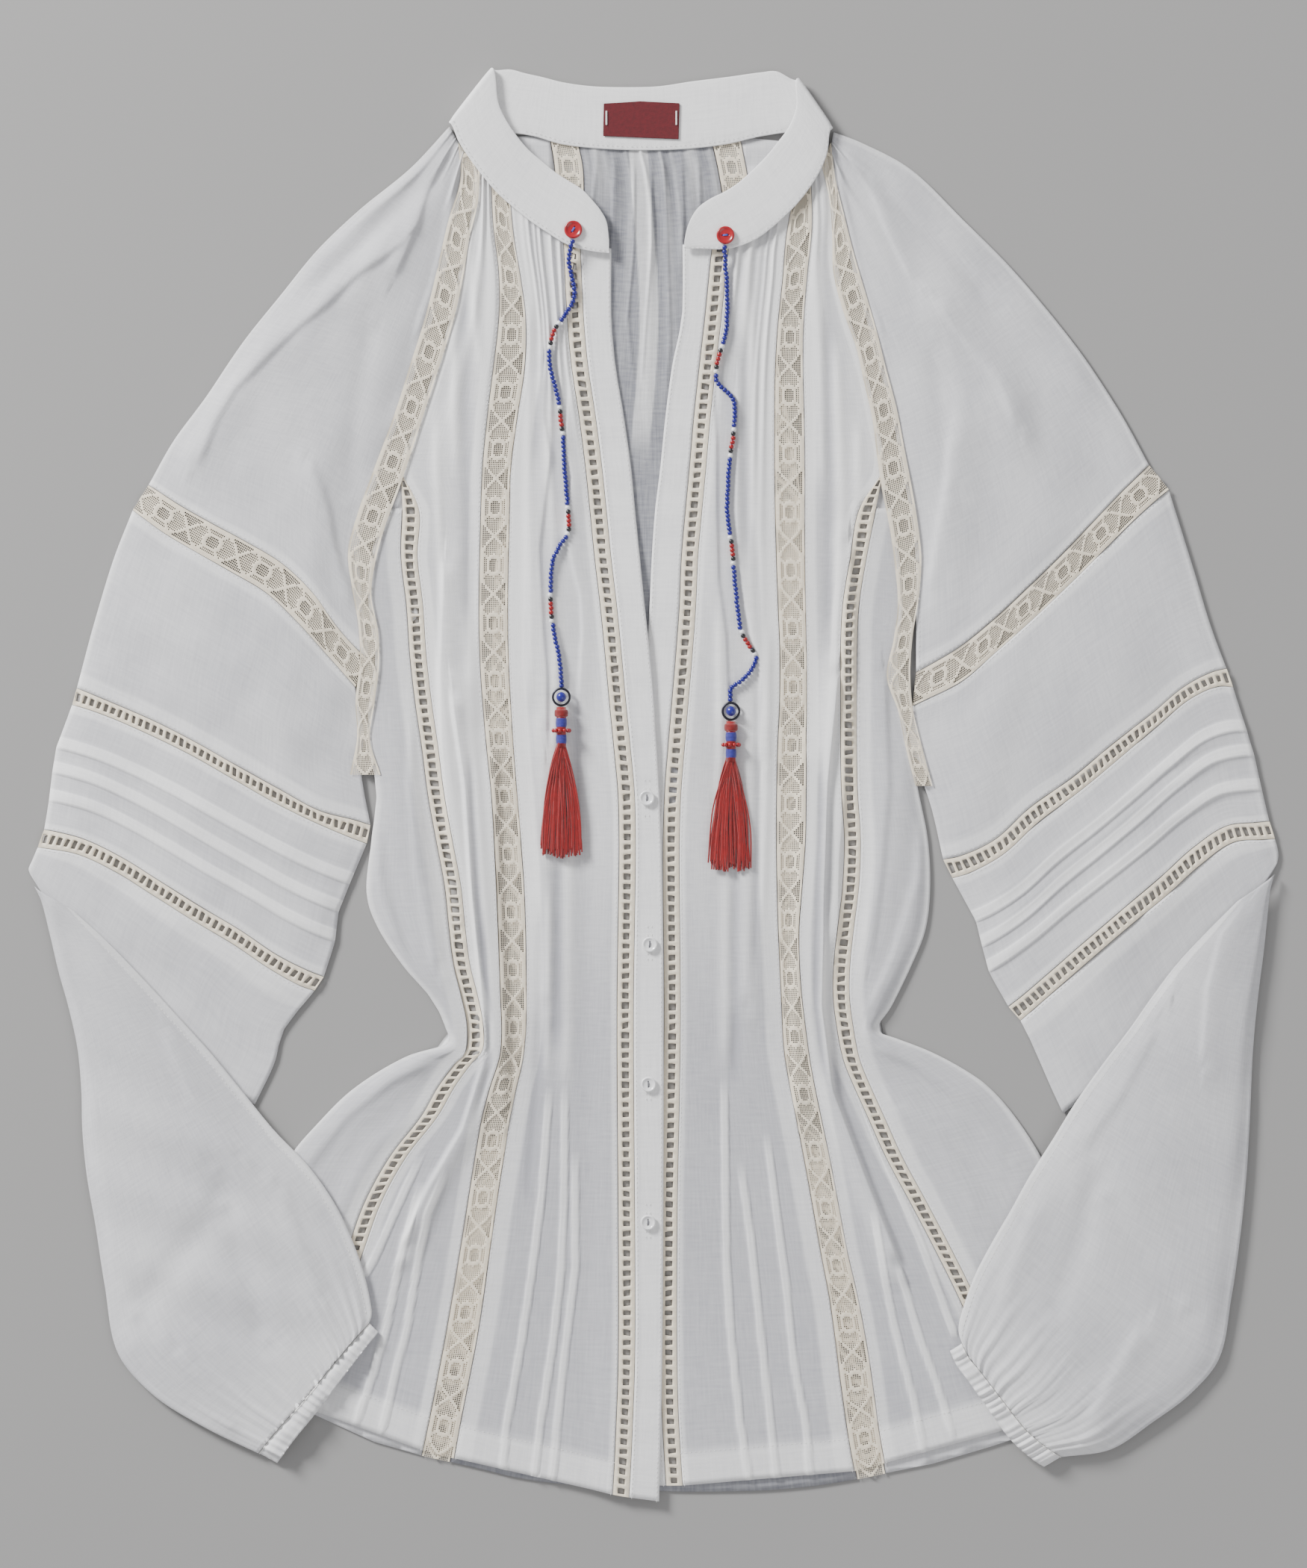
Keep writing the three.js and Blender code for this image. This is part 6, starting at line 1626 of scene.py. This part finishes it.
def makeStrings():
    for side in sides:
        data = strings[side]
        node = side + "_bead_string"
        route = np.array(data["route"]) * mm
        steps = np.concatenate([[0], np.cumsum(np.linalg.norm(np.diff(route, axis=0), axis=1))])
        wanted = np.linspace(0, steps[-1], 240)
        flat = resample(steps, route, wanted)
        height = nodeTop(node)
        z = np.array([height(x, y) for x, y in flat]) - bead / 2
        for _ in range(12):
            z[1:-1] = (z[:-2] + 2 * z[1:-1] + z[2:]) / 4
        line = np.concatenate([flat, z[:, None]], axis=1)
        length = float(np.linalg.norm(np.diff(line, axis=0), axis=1).sum())
        ball = bmesh.new()
        bmesh.ops.create_uvsphere(ball, u_segments=14, v_segments=9, radius=0.5)
        for vert in ball.verts:
            around = math.hypot(vert.co.x, vert.co.y)
            if around > 1e-6:
                squared = min(1.0, (around * 2) ** 0.55) / (around * 2)
                vert.co.x *= squared * bead
                vert.co.y *= squared * bead
            vert.co.z *= 2.25 * mm
        unit = bpy.data.meshes.new("beadUnit")
        ball.to_mesh(unit)
        ball.free()
        one = bpy.data.objects.new("beadUnit", unit)
        bpy.context.scene.collection.objects.link(one)
        count = int(length / (2.3 * mm))
        mesh = grow(curveHolder([line]), trees["path"], Unit=one, Spacing=length / count * 1.0001,
                    Finish=finishes["beads"])
        bpy.data.objects.remove(one)
        order = np.zeros(len(mesh.vertices), int)
        mesh.attributes["order"].data.foreach_get("value", order)
        spread = np.linspace(0, 1, int(order.max()) + 1)
        centres = np.array([[np.interp(s, wanted / wanted[-1], line[:, k]) for k in range(3)]
                            for s in spread])
        tones = beadColours(len(spread), centres, data["stretches"])
        dye = mesh.attributes.new("dye", "FLOAT_COLOR", "POINT")
        dye.data.foreach_set("color", np.array([tones[k] for k in order]).ravel())
        chance = np.random.default_rng(9).normal(size=(len(spread), 2))
        places = np.zeros(len(order) * 3)
        mesh.vertices.foreach_get("co", places)
        places = places.reshape(-1, 3)
        places[:, 0] += chance[order, 0] * 0.13 * mm
        places[:, 2] += chance[order, 1] * 0.05 * mm
        mesh.vertices.foreach_set("co", places.ravel())
        beads = dress(side + "Beads", mesh, "beads")
        core = grow(curveHolder([line]), trees["tube"], Radius=0.4 * mm, Sides=8,
                    Finish=finishes["blueThread"])
        thread = dress(side + "BeadThread", core, "beads", node)
        others = makeTassel(side)
    print("strings made")


tassel = {
    # from the ring's centre downwards, in mm: where each part starts and ends, half widths
    "redWrap": (6.6, 10.8, 3.7), "blueWrap": (10.8, 16.6, 3.0), "seedRow": (18.0, 4.3),
    "lowerWrap": (19.6, 25.5, 2.9),
    "strands": 124, "strandRadius": 0.42, "skirt": 87, "spread": (-13.5, 13.5),
}


def makeTassel(side):
    ringLow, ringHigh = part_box(side + "_ring")
    centre = (ringLow + ringHigh) / 2
    beadLow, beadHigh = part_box(side + "_tassel_bead")
    level = (beadLow.z + beadHigh.z) / 2
    made = []
    around = np.linspace(0, 2 * np.pi, 49)
    radius = (ringHigh.x - ringLow.x) / 2 - 0.6 * mm
    loop = np.stack([centre.x + radius * np.cos(around), centre.y + radius * np.sin(around),
                     np.full(49, centre.z)], axis=1)
    mesh = grow(curveHolder([loop]), trees["tube"], Radius=0.62 * mm, Sides=10, Finish=finishes["metal"])
    made.append(dress(side + "Ring", mesh, "ring_metal", side + "_ring"))
    ball = bmesh.new()
    bmesh.ops.create_uvsphere(ball, u_segments=28, v_segments=18, radius=(beadHigh.x - beadLow.x) / 2)
    bmesh.ops.translate(ball, verts=ball.verts, vec=(beadLow + beadHigh) / 2)
    mesh = bpy.data.meshes.new("tasselBead")
    ball.to_mesh(mesh)
    ball.free()
    dye = mesh.attributes.new("dye", "FLOAT_COLOR", "POINT")
    dye.data.foreach_set("color", np.tile(looks["wrap"][0], len(mesh.vertices)))
    mesh.materials.append(finishes["beads"])
    made.append(dress(side + "TasselBead", mesh, "beads", side + "_tassel_bead"))

    def wrap(name, key, finish):
        start, end, half = tassel[key]
        count, size = 24, 28
        t = np.linspace(0, 1, count)
        bulge = half * mm * (1 - 0.10 * (2 * t - 1) ** 2 - 0.25 * (2 * t - 1) ** 10)
        angle = np.linspace(0, 2 * np.pi, size, endpoint=False)
        rings = np.stack([
            centre.x + bulge[:, None] * np.cos(angle),
            centre.y - (mix(start, end, t) * mm)[:, None] + 0 * angle,
            level + bulge[:, None] * np.sin(angle) * 0.85], axis=2)
        cut = np.stack([bulge[:, None] * angle[None], (mix(start, end, t) * mm)[:, None] + 0 * angle], axis=2)
        piece = ringMesh(side + name, rings[:, ::-1], finishes[finish], cut[:, ::-1])
        made.append(wear(piece, "silk"))

    wrap("RedWrap", "redWrap", "redWrap")
    wrap("BlueWrap", "blueWrap", "blueWrap")
    wrap("LowerWrap", "lowerWrap", "blueWrap")
    row, reach = tassel["seedRow"]
    seeds = bmesh.new()
    for k in range(11):
        angle = 2 * math.pi * k / 11
        matrix = Matrix.Translation((centre.x + reach * mm * math.cos(angle), centre.y - row * mm,
                                     level + reach * 0.8 * mm * math.sin(angle)))
        bmesh.ops.create_uvsphere(seeds, u_segments=12, v_segments=8, radius=1.15 * mm, matrix=matrix)
    mesh = bpy.data.meshes.new("seedRow")
    seeds.to_mesh(mesh)
    seeds.free()
    dye = mesh.attributes.new("dye", "FLOAT_COLOR", "POINT")
    dye.data.foreach_set("color", np.tile(looks["redBead"], len(mesh.vertices)))
    mesh.materials.append(finishes["beads"])
    made.append(dress(side + "SeedRow", mesh, "beads"))
    core = ringMesh(side + "TasselCore", np.stack([
        np.stack([centre.x + 2.6 * mm * np.cos(a), np.full(20, centre.y - y * mm),
                  level + 2.3 * mm * np.sin(a)], axis=1)
        for y in (5.4, 27) for a in [np.linspace(0, 2 * np.pi, 20, endpoint=False)[::-1]]]), finishes["silk"])
    made.append(wear(core, "silk"))
    chance = np.random.default_rng(41 if side == "left" else 42).uniform(size=(tassel["strands"], 8))
    ground = level - 2.6 * mm
    lines = []
    for k, (a, b, c, d, e, f, g, _) in enumerate(chance):
        angle = 2 * math.pi * a
        sx, sz = 2.0 * math.cos(angle) * math.sqrt(b), 1.8 * math.sin(angle) * math.sqrt(b)
        out = (c * 2 - 1) * 10.5
        if k % 17 == 0:
            out *= 1.22
        end = mix(tassel["skirt"] - 6, tassel["skirt"], d) - abs(out) * 0.2
        t = np.linspace(0, 1, 15)
        bell = 1 - (1 - np.clip(t * 1.05 - 0.05, 0, 1)) ** 2.6
        x = mix(sx, out * 0.86, bell) + out * 0.14 * t + 0.6 * np.sin(t * (4 + 5 * e) + 6 * f) * t
        y = mix(22, end, t)
        fall = ease(0, 0.5, t)
        z = mix(sz * mm, (0.2 + 2.2 * g * (1 - abs(out) / 20)) * mm - (level - ground), fall)
        lines.append(np.stack([centre.x + x * mm, centre.y - y * mm, level + z + 0.3 * mm], axis=1))
    mesh = grow(curveHolder(lines), trees["tube"], Radius=tassel["strandRadius"] * mm, Sides=4,
                Finish=finishes["silk"])
    dress(side + "Tassel", mesh, "silk", side + "_tassel")
    return made


# Sewing: short stitches along the seams, and bars at the buttonholes
def makeStitchUnit(size):
    length, half, high = size
    points = [(0, 0, -length / 2), (0, 0, length / 2)]
    quarters = (0, math.pi / 2, math.pi, 3 * math.pi / 2)
    points += [(half * math.cos(a), high * math.sin(a), 0) for a in quarters]
    faces = [(0, 2 + (k + 1) % 4, 2 + k) for k in range(4)] + [(1, 2 + k, 2 + (k + 1) % 4) for k in range(4)]
    return unitObject("stitchUnit", [tuple(c * mm for c in p) for p in points], faces)


# The part of each buttonhole that shows above and below its button, from its centre in mm
buttonholeHalf = 1.1 * mm      # from its middle line to a row of its stitches
cuffSeam = {"inset": 0.2, "sink": 0.2 * mm, "radius": 0.45 * mm}
buttonholes = {
    "pearl_button_1": [(5.0, 9.5), (-9.5, -5.0)],
    "pearl_button_2": [(5.0, 9.5), (-8.0, -5.0)],
    "pearl_button_3": [(5.0, 9.5), (-8.0, -5.0)],
    "pearl_button_4": [(5.0, 9.5), (-8.0, -5.0)],
}


def makeSewing():
    lift = np.array([0, 0, 0.05 * mm])
    groups = {"left": [], "right": []}
    for side in sides:
        rows = groups[side]
        inner = "right" if side == "left" else "left"
        for edge in ("left", "right"):
            rows.append(edgeLine(side + "PlacketCloth", edge, 1.3))
            rows.append(edgeLine(side + "InnerFrontCloth", edge, 1.0, 0.02))
            rows.append(edgeLine(side + "OuterFrontCloth", edge, 1.0, 0.02))
        rows.append(edgeLine(side + "SideCloth", inner, 1.2))
        for name in ("InnerFrontCloth", "OuterFrontCloth", "SideCloth"):
            rows.append(edgeLine(side + name, "foot", 17.2))
        for name, edge in (("CapCloth", "foot"), ("MiddleCloth", "top"), ("MiddleCloth", "foot"),
                           ("TuckCloth", "top"), ("TuckCloth", "foot"), ("LowerCloth", "top")):
            rows.append(edgeLine(side + name, edge, 1.2, 0.03, 0.97))
        rows.append(edgeLine(side + "CapCloth", inner, 2.2))
        rows.append(edgeLine(side + "ForearmCloth", "foot", 0.8, 0.04, 0.96))
        rows.append(edgeLine(side + "ForearmCloth", inner, 4.0, 0.03, 0.97))
    band = panels["collarBand"]
    line = mix(band["seam"], band["free"], 0.055)
    up = band["normal"] * np.sign(band["normal"][:, 2:] + 1e-9)
    raised = line + up * (collar["thickness"] / 2 + 0.02 * mm)
    groups["left"].append(raised[:int(len(raised) * 0.30)])
    groups["right"].append(raised[int(len(raised) * 0.74):])
    groups["right"].append(raised[int(len(raised) * 0.36):int(len(raised) * 0.68)])
    height = nodeTop("left_placket")
    for node, reaches in buttonholes.items():
        low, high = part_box(node)
        centre = (low + high) / 2
        for start, end in reaches:
            for across in (-buttonholeHalf, buttonholeHalf):
                line = [(centre.x + across, centre.y + y) for y in np.linspace(start, end, 7) * mm]
                groups["left"].append(np.array([(x, y, height(x, y) + 0.2 * mm) for x, y in line]))
    for side in sides:
        seam = edgeLine(side + "CuffCloth", "top", cuffSeam["inset"]) - np.array([0, 0, cuffSeam["sink"]])
        mesh = grow(curveHolder([seam]), trees["tube"], Radius=cuffSeam["radius"], Sides=6,
                    Finish=finishes["stitch"])
        dress(side + "CuffSeam", mesh, "cloth")
    unit = makeStitchUnit((1.9, 0.17, 0.14))
    for side, rows in groups.items():
        mesh = grow(curveHolder([row + lift for row in rows]), trees["path"], Unit=unit, Spacing=2.6 * mm,
                    Finish=finishes["stitch"])
        dress(side + "Sewing", mesh, "cloth")
    bpy.data.objects.remove(unit)
    print("sewing made")


# Making
makeCamera()
makeStudio()
units = {"lace": makeLaceUnit()}
for kind, sizes in ladders.items():
    units[kind] = makeLadderUnit(kind + "LadderUnit", sizes["width"], sizes["pitch"], sizes["hole"])
makeFronts()
makeBack()
makeLowerLayers()
makeSleeves()
makeCollar()
makeLabel()
makeButtons()
makeStrings()
makeSewing()
for unit in units.values():
    bpy.data.objects.remove(unit)

# What each cloth lies on. The centre back and the lower layers lie on the floor.
liesOn = {
    "InnerFront": ["centreBackCloth", "{}BackLace", "{}BackCloth"],
    "OuterFront": ["{}BackCloth"],
    "Side": ["{}BackCloth"],
    "Cap": ["{}SleeveUnderCloth"],
    "Middle": ["{}SleeveUnderCloth"],
    "Tuck": ["{}SleeveUnderCloth"],
    "Lower": ["{}SleeveUnderCloth"],
    "Forearm": ["{}SleeveUnderCloth", "{}LowerCloth", "{}SideCloth"],
    "Cuff": ["{}OuterFrontCloth"],
}
restsOn = {side + part + "Cloth": [name.format(side) for name in names]
           for part, names in liesOn.items() for side in sides}
restsOn.update({
    "leftPlacketCloth": ["centreBackCloth", "rightPlacketCloth"],
    "rightPlacketCloth": ["centreBackCloth"],
    "centreBackCloth": [],
    "collarBand": ["centreBackCloth", "leftBackCloth", "rightBackCloth"],
})

# The cut of each cloth piece: its widest line as it lies
for name, made in panels.items():
    if name == "collarBand":
        width = float(np.linalg.norm(made["free"] - made["seam"], axis=1).max())
        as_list(restsOn[name])
        continue
    top = made["top"]
    ways = np.diff(top, axis=1)[:-1], np.diff(top, axis=0)[:, :-1]
    width = float(np.linalg.norm(ways[0], axis=2).sum(axis=1).max())
    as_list(restsOn[name])

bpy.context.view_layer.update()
count = sum(len(piece.data.loop_triangles) or sum(len(f.vertices) - 2 for f in piece.data.polygons)
            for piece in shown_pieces() if piece.type == "MESH")
print("triangles:", count)
